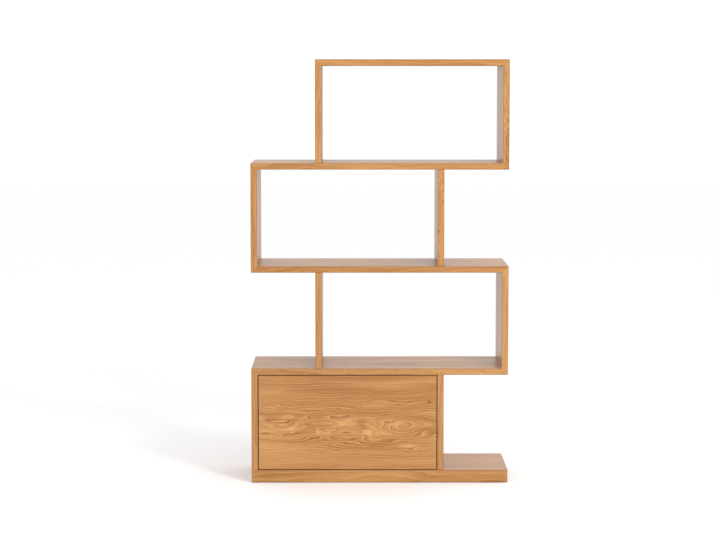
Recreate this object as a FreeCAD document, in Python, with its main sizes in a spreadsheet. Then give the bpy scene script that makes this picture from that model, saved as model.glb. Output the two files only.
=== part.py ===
import FreeCAD, Part
import os
import re

import Sketcher

doc = FreeCAD.newDocument("bookcase")

# Driving dimensions: millimetres, and degrees for the angles.
# X runs to the right, Y to the rear and Z up; the origin is on the floor, at the middle.
DRIVING = {
    # Form of the whole piece
    "unit_width": (1000, "outside width, over the frames on both sides"),
    "unit_depth": (340, "depth from front to rear"),
    "frame_width": (750, "outside width of one frame; the frames lie left and right by turns"),
    "board_thick": (25, "thickness of uprights, shelves and top"),
    "bay_height": (375, "clear height between two shelves"),
    "base_top": (50, "top of the base board above the floor"),
    "edge_strip": (8, "depth of the solid wood strip on a board's edge"),
    "edge_round": (0.8, "radius of the rounded long edges"),
    # Joints of the boards
    "dowel_diameter": (8, "dowels of the butt joints"),
    "dowel_bevel": (1, "bevel on the dowels' ends"),
    "dowel_in_shelf": (12, "dowel length in the shelf"),
    "dowel_in_upright": (27, "dowel length in the upright's end"),
    "dowel_inset": (50, "first dowel from the front, and last from the rear"),
    "dowel_wall": (0.45, "wood between the outermost dowel bores and the base board's end strips"),
    "end_gap": (0.5, "room past the ends of dowels, tongues, screws and panels"),
    "tongue_thick": (5, "loose tongues in the mitred corners"),
    "tongue_width": (20, "tongue width, half of it in each board"),
    "tongue_length": (280, "tongue length along the depth"),
    "tongue_from_corner": (20, "tongue's middle from the outer corner, along the mitre"),
    "glue_fit": (0.05, "glue room on each side of dowels, tongues and panels"),
    # Back panel of the cabinet
    "back_thick": (8, "plywood back panel"),
    "back_inset": (12, "back panel's rear face in from the rear of the boards"),
    "back_groove": (7, "depth of the grooves that hold the back panel"),
    # Glides under the base
    "glide_diameter": (25, "nylon glide"),
    "glide_proud": (2, "glide below the base board"),
    "glide_recess": (2, "glide let into the base board"),
    "glide_round": (1, "rounded rim of the glide"),
    "glide_inset": (40, "glide's middle in from the sides, front and rear"),
    "glide_pin_diameter": (6, "pin of the glide"),
    "glide_pin_length": (12, "pin length above the disc"),
    # Flap
    "flap_thick": (20, "thickness of the flap"),
    "flap_gap": (2.5, "shadow gap all round the flap"),
    "strip_rest": (0.5, "wood of the flap's frame strips past the hinge screws"),
    "open_angle": (90, "turn of the flap from shut to level"),
    # Knife hinges
    "hinge_setback": (6, "hinge axis behind the flap's front face"),
    "hinge_rise": (6, "hinge axis above the flap's lower edge"),
    "leaf_width": (9, "width of a hinge leaf"),
    "leaf_thick": (2.5, "thickness of a hinge leaf"),
    "leaf_reach": (36, "from the axis to the middle of the leaf's far round end"),
    "leaf_proud": (1, "part of the leaf's thickness that stands out of the wood"),
    "leaf_first_screw": (14, "from the axis to the first screw"),
    "leaf_screw_pitch": (16, "between the two screws of a leaf"),
    "mortise_fit": (0.1, "room round a leaf in its mortise"),
    "hinge_pin_diameter": (4, "hinge pin"),
    "washer_diameter": (8, "nylon washer between the leaves"),
    "washer_play": (0.05, "room on each side of the washer"),
    "pin_fit": (0.05, "running room round pins and studs, on the radius"),
    # Countersunk screws
    "screw_diameter": (3.5, "shank"),
    "screw_head": (6.5, "head"),
    "screw_length": (15, "overall length"),
    "screw_tip": (3, "length of the point"),
    "countersink": (90, "full angle under the head"),
    "screw_fit": (0.05, "room round the screws and riveted pins, on the radius"),
    # Brake stays
    "rod_room": (20.94, "rods to the back panel with the flap shut; it leaves an arm of 160"),
    "stay_standoff": (12, "flap pivot off the flap's inner face"),
    "guide_angle": (118, "direction of the guide pivot, from the front and up round the hinge axis"),
    "rod_inset": (10.5, "rod's middle line from the cabinet side"),
    "rod_diameter": (6, "sliding rod"),
    "rod_fit": (0.1, "running room round the rod, on the radius"),
    "rod_eye": (12, "outside diameter of the eye on the rod"),
    "guide_diameter": (14, "barrel that the rod slides in"),
    "guide_length": (26, "length of the barrel"),
    "guide_boss": (11, "diameter of the bosses on the barrel"),
    "guide_boss_height": (2, "inner boss above the barrel"),
    "stud_diameter": (5, "riveted stud that the guide swivels on"),
    "stud_length": (4.2, "stud above its plate"),
    "stud_end_gap": (0.3, "room past the stud's end"),
    "thrust_gap": (0.3, "side room of the guide and of the rod's eye"),
    "plate_thick": (2, "side plate"),
    "plate_width": (24, "side plate, front to rear"),
    "plate_height": (60, "side plate, upright"),
    "plate_screw_pitch": (44, "between the side plate's screws"),
    "collar_diameter": (10, "stop collar on the rod's end"),
    "collar_length": (6, "stop collar"),
    "stop_gap": (0.3, "collar to guide with the flap level"),
    "brake_head": (10, "head of the brake screw"),
    "brake_head_length": (4, "thickness of that head"),
    "brake_shank": (4, "shank of the brake screw"),
    "brake_gap": (0.2, "brake screw's end to the rod"),
    "metal_bevel": (0.6, "bevel on turned metal ends"),
    "plate_round": (3, "rounded corners of plates"),
    "ear_thick": (2, "ears of the flap bracket"),
    "ear_root": (22, "width of an ear at its foot"),
    "web_thick": (2, "foot plate of the flap bracket"),
    "web_height": (40, "length of that foot plate"),
    "bracket_screw_pitch": (28, "between the bracket's screws"),
    "pivot_diameter": (5, "pivot pin of the rod's eye"),
    "pivot_head": (8, "head of that pin"),
    "pivot_head_length": (1.2, "thickness of that head"),
    # Touch latch
    "latch_width": (16, "housing, left to right"),
    "latch_height": (16, "housing below the shelf"),
    "latch_length": (60, "housing, front to rear"),
    "latch_round": (1.2, "rounded long edges of the housing"),
    "wing_span": (40, "over both screw wings"),
    "wing_length": (20, "screw wing, front to rear"),
    "wing_thick": (2, "screw wing"),
    "wing_screw_pitch": (28, "between the wing screws"),
    "plunger_diameter": (8, "shaft of the plunger"),
    "plunger_head": (10, "head of the plunger"),
    "plunger_head_length": (3, "thickness of that head"),
    "plunger_round": (1, "rounded rims of that head"),
    "plunger_in_housing": (25, "shaft inside the housing at rest"),
    "plunger_travel": (3, "way that the plunger is pressed in"),
    "plunger_fit": (0.1, "running room round the shaft, on the radius"),
    "latch_play": (0.3, "free room before and behind the plunger's head"),
    "strike_width": (30, "strike plate on the flap"),
    "strike_height": (10, "strike plate"),
    "strike_screw_pitch": (20, "between the strike plate's screws"),
}

sheet = doc.addObject("Spreadsheet::Sheet", "Sizes")
for row, (alias, (number, meaning)) in enumerate(DRIVING.items(), 1):
    sheet.set(f"A{row}", alias)
    sheet.set(f"B{row}", str(number))
    sheet.set(f"C{row}", meaning)
    sheet.setAlias(f"B{row}", alias)
doc.recompute()


def bound(text):
    """Write an expression with plain size names as one that refers to the sheet."""
    return re.sub(r"[a-z][a-z_]*", lambda word: refer(word.group()), str(text))


def refer(word):
    """Put the sheet's name before a size name and leave functions and units alone."""
    return f"Sizes.{word}" if word in DRIVING else word


def value(text):
    """Number that an expression has now, in millimetres or degrees."""
    result = sheet.evalExpression(bound(text))
    return float(getattr(result, "Value", result))


# Derived places, as expressions of the driving dimensions
LEFT = "(-unit_width / 2)"
RIGHT = "(unit_width / 2)"
FRONT = "(-unit_depth / 2)"
REAR = "(unit_depth / 2)"
CABINET_LEFT = f"({LEFT} + board_thick)"
CABINET_RIGHT = f"({LEFT} + frame_width - board_thick)"
CABINET_MIDDLE = f"({LEFT} + frame_width / 2)"
HINGE_Y = f"({FRONT} + hinge_setback)"
HINGE_Z = "(base_top + flap_gap + hinge_rise)"
FLAP_INNER = f"({FRONT} + flap_thick)"
BASE_END_STRIP = "(board_thick / 2 - dowel_diameter / 2 - glue_fit - dowel_wall)"
HEAD_HEIGHT = "((screw_head - screw_diameter) / 2 / tan(countersink / 2))"


def shelf_top(level):
    """Height of a board's top face: 0 is the base, 4 the top board."""
    return f"(base_top + {level} * (bay_height + board_thick))"


def shelf_under(level):
    """Height of a shelf's underside."""
    return f"({shelf_top(level)} - board_thick)"


PLANES = {"X": "YZ_Plane", "Y": "XZ_Plane", "Z": "XY_Plane"}
SAME_PLACE = 1e-6
LEAST_CUT = 1e-3


def new_body(label):
    """One sub-part, under its own name; a set of like pieces may be loose solids in it."""
    body = doc.addObject("PartDesign::Body", label)
    body.Label = label
    body.AllowCompound = True
    return body


def new_sketch(body, name, axis, offset):
    """Sketch square to an axis of the body, at a place on that axis."""
    role = PLANES[axis]
    plane = next(item for item in body.Origin.OriginFeatures if item.Role == role)
    sketch = body.newObject("Sketcher::SketchObject", f"{body.Name}_{name}_sketch")
    sketch.AttachmentSupport = [(plane, "")]
    sketch.MapMode = "FlatFace"
    sign = "-" if axis == "Y" else ""
    sketch.setExpression("AttachmentOffset.Base.z", bound(f"{sign}({offset})"))
    return sketch


def fix_point(sketch, line, end, across, up, name):
    """Hold a sketch point at its place from the origin."""
    for kind, text in (("DistanceX", across), ("DistanceY", up)):
        index = sketch.addConstraint(Sketcher.Constraint(kind, -1, 1, line, end, value(text)))
        label = f"{name}_{kind[-1].lower()}"
        sketch.renameConstraint(index, label)
        sketch.setExpression(f"Constraints.{label}", bound(text))


def add_outline(sketch, corners):
    """Closed outline of straight sides through the given corners."""
    first = sketch.GeometryCount
    count = len(corners)
    points = [FreeCAD.Vector(value(across), value(up), 0) for across, up in corners]
    for side in range(count):
        sketch.addGeometry(Part.LineSegment(points[side], points[(side + 1) % count]), False)
    for side in range(count):
        following = first + (side + 1) % count
        sketch.addConstraint(Sketcher.Constraint("Coincident", first + side, 2, following, 1))
    for side, (across, up) in enumerate(corners):
        fix_point(sketch, first + side, 1, across, up, f"corner_{first + side}")


def add_circle(sketch, across, up, diameter):
    """Circle about a place from the origin."""
    centre = FreeCAD.Vector(value(across), value(up), 0)
    line = sketch.addGeometry(Part.Circle(centre, FreeCAD.Vector(0, 0, 1), value(diameter) / 2), False)
    fix_point(sketch, line, 3, across, up, f"centre_{line}")
    index = sketch.addConstraint(Sketcher.Constraint("Diameter", line, value(diameter)))
    sketch.renameConstraint(index, f"diameter_{line}")
    sketch.setExpression(f"Constraints.diameter_{line}", bound(diameter))


def rectangle(left, right, bottom, top):
    """Corners of an upright rectangle."""
    return [(left, bottom), (right, bottom), (right, top), (left, top)]


def extrude(body, name, axis, start, end, outlines=(), circles=(), cut=False):
    """Pad or pocket along an axis, from one place to another."""
    sketch = new_sketch(body, name, axis, start)
    for corners in outlines:
        add_outline(sketch, corners)
    for across, up, diameter in circles:
        add_circle(sketch, across, up, diameter)
    forward = value(end) > value(start)
    if axis == "Y":
        forward = not forward
    kind = "PartDesign::Pocket" if cut else "PartDesign::Pad"
    feature = body.newObject(kind, f"{body.Name}_{name}")
    feature.Profile = sketch
    feature.Reversed = forward if cut else not forward
    feature.setExpression("Length", bound(f"abs(({end}) - ({start}))"))
    return feature


def finish_edges(body, name, kind, amount, wanted):
    """Round or bevel the edges of the body that pass the test."""
    doc.recompute()
    base = body.Tip
    names = [f"Edge{number}" for number, edge in enumerate(base.Shape.Edges, 1) if wanted(edge)]
    feature = body.newObject(f"PartDesign::{kind}", f"{body.Name}_{name}")
    feature.Base = (base, names)
    feature.setExpression("Radius" if kind == "Fillet" else "Size", bound(amount))
    return feature


def screw_holes(body, name, axis, face, forward, points):
    """Countersunk holes; the heads lie flush in the face and the shanks go through."""
    doc.recompute()
    sketch = new_sketch(body, name, axis, face)
    for across, up in points:
        add_circle(sketch, across, up, "screw_diameter + 2 * screw_fit")
    hole = body.newObject("PartDesign::Hole", f"{body.Name}_{name}")
    hole.Profile = sketch
    doc.recompute()
    hole.DepthType = "ThroughAll"
    hole.Reversed = not forward if axis == "Y" else forward
    hole.setExpression("Diameter", bound("screw_diameter + 2 * screw_fit"))
    hole.HoleCutType = "Countersink"
    hole.HoleCutCustomValues = True
    hole.setExpression("HoleCutCountersinkAngle", bound("countersink"))
    hole.setExpression("HoleCutDiameter", bound("screw_head + 2 * screw_fit"))
    return hole


def on_line(edge, axis):
    """True for an edge that runs along the given axis."""
    start, end = edge.Vertexes[0].Point, edge.Vertexes[-1].Point
    run = end - start
    return run.Length > 0 and abs(abs(run.dot(axis)) / run.Length - 1) < SAME_PLACE


ALONG = {
    "X": FreeCAD.Vector(1, 0, 0),
    "Y": FreeCAD.Vector(0, 1, 0),
    "Z": FreeCAD.Vector(0, 0, 1),
}


# Boards: a core with a veneer on both faces, and a solid strip glued on its front and rear edges
boards = {}
strips = {}


def board(label, along, left, right, bottom, top, short=()):
    """Board with its strips; at a mitred end the corner named short is cut back."""
    corners = {
        "bottom_left": [left, bottom],
        "bottom_right": [right, bottom],
        "top_right": [right, top],
        "top_left": [left, top],
    }
    for corner in short:
        place = 0 if along == "X" else 1
        far = "right" in corner if along == "X" else "top" in corner
        sign = "-" if far else "+"
        corners[corner][place] = f"{corners[corner][place]} {sign} board_thick"
    outline = [tuple(corner) for corner in corners.values()]
    core = new_body(label)
    inside = outline
    if label == "base_board":
        inside = rectangle(f"{left} + {BASE_END_STRIP}", f"{right} - {BASE_END_STRIP}", bottom, top)
    extrude(core, "core", "Y", f"{FRONT} + edge_strip", f"{REAR} - edge_strip", [inside])
    boards[label] = core
    edging = new_body(f"{label}_strips")
    extrude(edging, "front", "Y", FRONT, f"{FRONT} + edge_strip", [outline])
    extrude(edging, "rear", "Y", f"{REAR} - edge_strip", REAR, [outline])
    if label == "base_board":
        ends = [
            rectangle(left, f"{left} + {BASE_END_STRIP}", bottom, top),
            rectangle(f"{right} - {BASE_END_STRIP}", right, bottom, top),
        ]
        extrude(edging, "ends", "Y", f"{FRONT} + edge_strip", f"{REAR} - edge_strip", ends)
    outer = value(REAR)

    def is_outer(edge):
        on_face = all(abs(abs(corner.Point.y) - outer) < SAME_PLACE for corner in edge.Vertexes)
        return on_face and on_line(edge, ALONG[along])

    finish_edges(edging, "rounding", "Fillet", "edge_round", is_outer)
    strips[label] = edging


board("base_board", "X", LEFT, RIGHT, "glide_proud", "base_top")
board("lower_shelf", "X", LEFT, RIGHT, shelf_under(1), shelf_top(1), ["bottom_left", "top_right"])
board("middle_shelf", "X", LEFT, RIGHT, shelf_under(2), shelf_top(2), ["top_left", "bottom_right"])
board("upper_shelf", "X", LEFT, RIGHT, shelf_under(3), shelf_top(3), ["bottom_left", "top_right"])
board("top_board", "X", f"{RIGHT} - frame_width", RIGHT, shelf_under(4), shelf_top(4),
      ["bottom_left", "bottom_right"])

# Uprights: one pair a bay, from the cabinet at the bottom to the upper bay
board("cabinet_left_upright", "Z", LEFT, CABINET_LEFT, shelf_top(0), shelf_top(1), ["top_right"])
board("cabinet_right_upright", "Z", CABINET_RIGHT, f"{LEFT} + frame_width", shelf_top(0), shelf_under(1))
board("lower_left_upright", "Z", f"{RIGHT} - frame_width", f"{RIGHT} - frame_width + board_thick",
      shelf_top(1), shelf_under(2))
board("lower_right_upright", "Z", f"{RIGHT} - board_thick", RIGHT, shelf_under(1), shelf_top(2),
      ["bottom_left", "top_left"])
board("middle_left_upright", "Z", LEFT, CABINET_LEFT, shelf_under(2), shelf_top(3),
      ["bottom_right", "top_right"])
board("middle_right_upright", "Z", CABINET_RIGHT, f"{LEFT} + frame_width", shelf_top(2), shelf_under(3))
board("upper_left_upright", "Z", f"{RIGHT} - frame_width", f"{RIGHT} - frame_width + board_thick",
      shelf_top(3), shelf_top(4), ["top_right"])
board("upper_right_upright", "Z", f"{RIGHT} - board_thick", RIGHT, shelf_under(3), shelf_top(4),
      ["bottom_left", "top_left"])

# Dowels of the butt joints: each joint is a row of four, square to the shelf
LEFT_POST = f"{RIGHT} - frame_width + board_thick / 2"
RIGHT_POST = f"{LEFT} + frame_width - board_thick / 2"
BUTT_JOINTS = [
    ("base_board", "cabinet_left_upright", f"{LEFT} + board_thick / 2", shelf_top(0), "+"),
    ("base_board", "cabinet_right_upright", RIGHT_POST, shelf_top(0), "+"),
    ("lower_shelf", "cabinet_right_upright", RIGHT_POST, shelf_under(1), "-"),
    ("lower_shelf", "lower_left_upright", LEFT_POST, shelf_top(1), "+"),
    ("middle_shelf", "lower_left_upright", LEFT_POST, shelf_under(2), "-"),
    ("middle_shelf", "middle_right_upright", RIGHT_POST, shelf_top(2), "+"),
    ("upper_shelf", "middle_right_upright", RIGHT_POST, shelf_under(3), "-"),
    ("upper_shelf", "upper_left_upright", LEFT_POST, shelf_top(3), "+"),
]
DOWELS_A_JOINT = 4


def dowel_row(across, diameter):
    """Circles of one joint, evenly spaced from front to rear."""
    step = f"(unit_depth - 2 * dowel_inset) / {DOWELS_A_JOINT - 1}"
    return [(across, f"{FRONT} + dowel_inset + {n} * {step}", diameter) for n in range(DOWELS_A_JOINT)]


dowels = new_body("dowels")
for number, (shelf, upright, across, face, up) in enumerate(BUTT_JOINTS, 1):
    down = "-" if up == "+" else "+"
    bore = dowel_row(across, "dowel_diameter + 2 * glue_fit")
    shelf_end = f"{face} {down} (dowel_in_shelf + end_gap)"
    upright_end = f"{face} {up} (dowel_in_upright + end_gap)"
    extrude(boards[shelf], f"bores_{number}", "Z", face, shelf_end, circles=bore, cut=True)
    extrude(boards[upright], f"bores_{number}", "Z", face, upright_end, circles=bore, cut=True)
    extrude(dowels, f"row_{number}", "Z", f"{face} {down} dowel_in_shelf", f"{face} {up} dowel_in_upright",
            circles=dowel_row(across, "dowel_diameter"))
finish_edges(dowels, "bevels", "Chamfer", "dowel_bevel",
             lambda edge: isinstance(edge.Curve, Part.Circle))

# Loose tongues of the mitred corners, square to the mitre
MITRED_CORNERS = [
    ("lower_shelf", "cabinet_left_upright", LEFT, shelf_top(1), "+", "-"),
    ("lower_shelf", "lower_right_upright", RIGHT, shelf_under(1), "-", "+"),
    ("middle_shelf", "lower_right_upright", RIGHT, shelf_top(2), "-", "-"),
    ("middle_shelf", "middle_left_upright", LEFT, shelf_under(2), "+", "+"),
    ("upper_shelf", "middle_left_upright", LEFT, shelf_top(3), "+", "-"),
    ("upper_shelf", "upper_right_upright", RIGHT, shelf_under(3), "-", "+"),
    ("top_board", "upper_right_upright", RIGHT, shelf_top(4), "-", "-"),
    ("top_board", "upper_left_upright", f"{RIGHT} - frame_width", shelf_top(4), "+", "-"),
]


def tongue_section(corner_x, corner_z, inward_x, inward_z, room):
    """Section of a tongue: it crosses the mitre, which runs inward from the outer corner."""
    middle = "tongue_from_corner"
    half_wide = f"(tongue_width / 2 + {room})"
    half_thick = f"(tongue_thick / 2 + {room})"
    corners = []
    for wide, thick in (("-", "-"), ("+", "-"), ("+", "+"), ("-", "+")):
        against = "+" if wide == "-" else "-"
        along_x = f"({middle} {wide} {half_wide} {thick} {half_thick}) / sqrt(2)"
        along_z = f"({middle} {against} {half_wide} {thick} {half_thick}) / sqrt(2)"
        corners.append((f"{corner_x} {inward_x} {along_x}", f"{corner_z} {inward_z} {along_z}"))
    return corners


tongue_sections = []
for shelf, upright, corner_x, corner_z, inward_x, inward_z in MITRED_CORNERS:
    slot = tongue_section(corner_x, corner_z, inward_x, inward_z, "glue_fit")
    half_slot = "(tongue_length / 2 + end_gap)"
    for label in (shelf, upright):
        name = "slot_left" if inward_x == "+" else "slot_right"
        if label == upright:
            name = "slot_head" if inward_z == "-" else "slot_foot"
        extrude(boards[label], name, "Y", f"-{half_slot}", half_slot, [slot], cut=True)
    tongue_sections.append(tongue_section(corner_x, corner_z, inward_x, inward_z, "0"))
tongues = new_body("corner_tongues")
extrude(tongues, "strips", "Y", "-tongue_length / 2", "tongue_length / 2", tongue_sections)

# Back panel: plywood in grooves of the two uprights, the base and the shelf
BACK_REAR = f"({REAR} - back_inset)"
BACK_FRONT = f"({BACK_REAR} - back_thick)"
groove = rectangle(f"{CABINET_LEFT} - back_groove", f"{CABINET_RIGHT} + back_groove",
                   f"{shelf_top(0)} - back_groove", f"{shelf_under(1)} + back_groove")
for label in ("base_board", "lower_shelf", "cabinet_left_upright", "cabinet_right_upright"):
    extrude(boards[label], "back_groove", "Y", f"{BACK_FRONT} - glue_fit", f"{BACK_REAR} + glue_fit",
            [groove], cut=True)
back_reach = "(back_groove - end_gap)"
back_panel = new_body("back_panel")
back_outline = rectangle(f"{CABINET_LEFT} - {back_reach}", f"{CABINET_RIGHT} + {back_reach}",
                         f"{shelf_top(0)} - {back_reach}", f"{shelf_under(1)} + {back_reach}")
extrude(back_panel, "sheet", "Y", BACK_FRONT, BACK_REAR, [back_outline])

# Glides: nylon discs let into the underside, each with a pin, in three pairs
glide_places = []
for across in (f"{LEFT} + glide_inset", "0", f"{RIGHT} - glide_inset"):
    for depth in (f"{FRONT} + glide_inset", f"{REAR} - glide_inset"):
        glide_places.append((across, depth))
GLIDE_TOP = "(glide_proud + glide_recess)"
glides = new_body("glides")
extrude(glides, "discs", "Z", "0", GLIDE_TOP, circles=[(x, y, "glide_diameter") for x, y in glide_places])
extrude(glides, "pins", "Z", "0", f"{GLIDE_TOP} + glide_pin_length",
        circles=[(x, y, "glide_pin_diameter") for x, y in glide_places])
finish_edges(glides, "rounding", "Fillet", "glide_round",
             lambda edge: all(abs(corner.Z) < SAME_PLACE for corner in edge.Vertexes))
extrude(boards["base_board"], "glide_recesses", "Z", "glide_proud", GLIDE_TOP, cut=True,
        circles=[(x, y, "glide_diameter + 2 * glue_fit") for x, y in glide_places])
extrude(boards["base_board"], "glide_bores", "Z", "glide_proud",
        f"{GLIDE_TOP} + glide_pin_length + end_gap", cut=True,
        circles=[(x, y, "glide_pin_diameter + 2 * glue_fit") for x, y in glide_places])

# Flap: a veneered panel framed by solid strips, flush with the front when shut. The strips
# are as wide as the hinge screws reach, so the screws hold in solid wood.
FLAP_LEFT = f"({CABINET_LEFT} + flap_gap)"
FLAP_RIGHT = f"({CABINET_RIGHT} - flap_gap)"
FLAP_BOTTOM = "(base_top + flap_gap)"
FLAP_TOP = f"({shelf_under(1)} - flap_gap)"
FLAP_STRIP = "(screw_length + end_gap - leaf_proud + strip_rest)"
CORE_LEFT = f"({FLAP_LEFT} + {FLAP_STRIP})"
CORE_RIGHT = f"({FLAP_RIGHT} - {FLAP_STRIP})"
CORE_BOTTOM = f"({FLAP_BOTTOM} + {FLAP_STRIP})"
CORE_TOP = f"({FLAP_TOP} - {FLAP_STRIP})"

flap_panel = new_body("flap_panel")
panel_outline = rectangle(CORE_LEFT, CORE_RIGHT, CORE_BOTTOM, CORE_TOP)
extrude(flap_panel, "core", "Y", FRONT, FLAP_INNER, [panel_outline])


def flap_perimeter(edge):
    """True for an edge of the flap's front or inner face that lies on its outer rim."""
    start, end = edge.Vertexes[0].Point, edge.Vertexes[-1].Point

    def both_at(axis, places):
        """True if both ends of the edge lie at one of the places along the axis."""
        return any(
            all(abs(point.dot(ALONG[axis]) - value(place)) < SAME_PLACE for point in (start, end))
            for place in places
        )

    on_rim = both_at("X", (FLAP_LEFT, FLAP_RIGHT)) or both_at("Z", (FLAP_BOTTOM, FLAP_TOP))
    return on_rim and both_at("Y", (FRONT, FLAP_INNER))


flap_sides = new_body("flap_side_strips")
side_outlines = [rectangle(FLAP_LEFT, CORE_LEFT, FLAP_BOTTOM, FLAP_TOP),
                 rectangle(CORE_RIGHT, FLAP_RIGHT, FLAP_BOTTOM, FLAP_TOP)]
extrude(flap_sides, "strips", "Y", FRONT, FLAP_INNER, side_outlines)
finish_edges(flap_sides, "rounding", "Fillet", "edge_round", flap_perimeter)

flap_ends = new_body("flap_end_strips")
end_outlines = [rectangle(CORE_LEFT, CORE_RIGHT, FLAP_BOTTOM, CORE_BOTTOM),
                rectangle(CORE_LEFT, CORE_RIGHT, CORE_TOP, FLAP_TOP)]
extrude(flap_ends, "strips", "Y", FRONT, FLAP_INNER, end_outlines)
finish_edges(flap_ends, "rounding", "Fillet", "edge_round", flap_perimeter)

# Screws: one countersunk wood screw, repeated wherever a fitting is fastened
screw_form = new_body("screw_form")
profile = new_sketch(screw_form, "profile", "Y", "0")
add_outline(profile, [
    ("0", "0"),
    ("screw_head / 2", "0"),
    ("screw_diameter / 2", f"-{HEAD_HEIGHT}"),
    ("screw_diameter / 2", "-(screw_length - screw_tip)"),
    ("0", "-screw_length"),
])
turned = screw_form.newObject("PartDesign::Revolution", "screw_form_turned")
turned.Profile = profile
turned.ReferenceAxis = (profile, ["V_Axis"])
turned.Angle = 360

SCREWED = {"cabinet_screws": [], "flap_screws": []}
DRIVEN = FreeCAD.Vector(0, 0, -1)


def screw(group, x, y, z, direction):
    """One screw of a group, its head's flat at the place given."""
    number = len(SCREWED[group]) + 1
    link = doc.addObject("App::Link", f"{group}_{number}")
    link.LinkedObject = screw_form
    link.Placement = FreeCAD.Placement(FreeCAD.Vector(0, 0, 0), FreeCAD.Rotation(DRIVEN, direction))
    for letter, text in (("x", x), ("y", y), ("z", z)):
        link.setExpression(f"Placement.Base.{letter}", bound(text))
    SCREWED[group].append(link)


def pilot_holes(body, name, axis, face, end, points):
    """Blind bores in the wood for a fitting's screws."""
    circles = [(across, up, "screw_diameter + 2 * screw_fit") for across, up in points]
    extrude(body, name, axis, face, end, circles=circles, cut=True)


# The two sides of the cabinet: face of the upright, and the way inward from it
SIDES = [
    ("left", CABINET_LEFT, "+", boards["cabinet_left_upright"], strips["cabinet_left_upright"]),
    ("right", CABINET_RIGHT, "-", boards["cabinet_right_upright"], strips["cabinet_right_upright"]),
]


def leaf_outline(body, name, start, end, upright, room="0", cut=False):
    """Hinge leaf seen from the side: a bar with round ends, the first about the axis."""
    half = f"(leaf_width / 2 + {room})"
    if upright:
        bar = rectangle(f"{HINGE_Y} - {half}", f"{HINGE_Y} + {half}", HINGE_Z, f"{HINGE_Z} + leaf_reach")
        ends = [(HINGE_Y, HINGE_Z), (HINGE_Y, f"{HINGE_Z} + leaf_reach")]
    else:
        bar = rectangle(HINGE_Y, f"{HINGE_Y} + leaf_reach", f"{HINGE_Z} - {half}", f"{HINGE_Z} + {half}")
        ends = [(HINGE_Y, HINGE_Z), (f"{HINGE_Y} + leaf_reach", HINGE_Z)]
    extrude(body, f"{name}_bar", "X", start, end, [bar], cut=cut)
    extrude(body, f"{name}_ends", "X", start, end, cut=cut,
            circles=[(y, z, f"2 * {half}") for y, z in ends])


# Knife hinges: one leaf let into the cabinet side, one into the flap's edge, a pin through both
hinge_pins = new_body("hinge_pins")
hinge_washers = new_body("hinge_washers")
for side, face, inward, upright, edging in SIDES:
    outward = "-" if inward == "+" else "+"
    way_in = FreeCAD.Vector(1 if inward == "+" else -1, 0, 0)

    # Leaf in the cabinet side, running rearward from the axis
    leaf_back = f"{face} {outward} (leaf_thick - leaf_proud)"
    leaf_face = f"{face} {inward} leaf_proud"
    leaf = new_body(f"hinge_cabinet_leaf_{side}")
    leaf_outline(leaf, "leaf", leaf_back, leaf_face, upright=False)
    extrude(leaf, "pin_hole", "X", leaf_back, leaf_face,
            circles=[(HINGE_Y, HINGE_Z, "hinge_pin_diameter + 2 * screw_fit")], cut=True)
    spots = [(f"{HINGE_Y} + leaf_first_screw + {n} * leaf_screw_pitch", HINGE_Z) for n in range(2)]
    screw_holes(leaf, "screws", "X", leaf_face, inward == "-", spots)
    for wood in (upright, edging):
        leaf_outline(wood, "mortise", face, leaf_back, upright=False, room="mortise_fit", cut=True)
    pilot_holes(upright, "hinge_pilots", "X", face, f"{leaf_face} {outward} (screw_length + end_gap)",
                spots)
    for y, z in spots:
        screw("cabinet_screws", leaf_face, y, z, -way_in)

    # Leaf in the flap's edge, running up from the axis
    rim = f"({face} {inward} flap_gap)"
    rim_face = f"{rim} {outward} leaf_proud"
    rim_back = f"{rim} {inward} (leaf_thick - leaf_proud)"
    leaf = new_body(f"hinge_flap_leaf_{side}")
    leaf_outline(leaf, "leaf", rim_face, rim_back, upright=True)
    extrude(leaf, "pin_hole", "X", rim_face, rim_back,
            circles=[(HINGE_Y, HINGE_Z, "hinge_pin_diameter + 2 * pin_fit")], cut=True)
    spots = [(HINGE_Y, f"{HINGE_Z} + leaf_first_screw + {n} * leaf_screw_pitch") for n in range(2)]
    screw_holes(leaf, "screws", "X", rim_face, inward == "+", spots)
    leaf_outline(flap_sides, f"mortise_{side}", rim, rim_back, upright=True, room="mortise_fit", cut=True)
    pilot_holes(flap_sides, f"hinge_pilots_{side}", "X", rim,
                f"{rim_face} {inward} (screw_length + end_gap)", spots)
    for y, z in spots:
        screw("flap_screws", rim_face, y, z, way_in)

    # Pin riveted in the cabinet leaf, and the washer between the leaves
    extrude(hinge_pins, f"pin_{side}", "X", leaf_back, rim_back,
            circles=[(HINGE_Y, HINGE_Z, "hinge_pin_diameter")])
    washer_start = f"{leaf_face} {inward} washer_play"
    washer_end = f"{rim_face} {outward} washer_play"
    extrude(hinge_washers, f"washer_{side}", "X", washer_start, washer_end,
            circles=[(HINGE_Y, HINGE_Z, "washer_diameter"),
                     (HINGE_Y, HINGE_Z, "hinge_pin_diameter + 2 * pin_fit")])

# Brake stays. The flap pivot and the guide pivot lie at the same distance from the hinge
# axis, so the line through them turns by half the flap's turn and the rod never binds.
PIVOT_BACK = "(flap_thick - hinge_setback + stay_standoff)"
PIVOT_Y = f"({HINGE_Y} + {PIVOT_BACK})"

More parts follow.
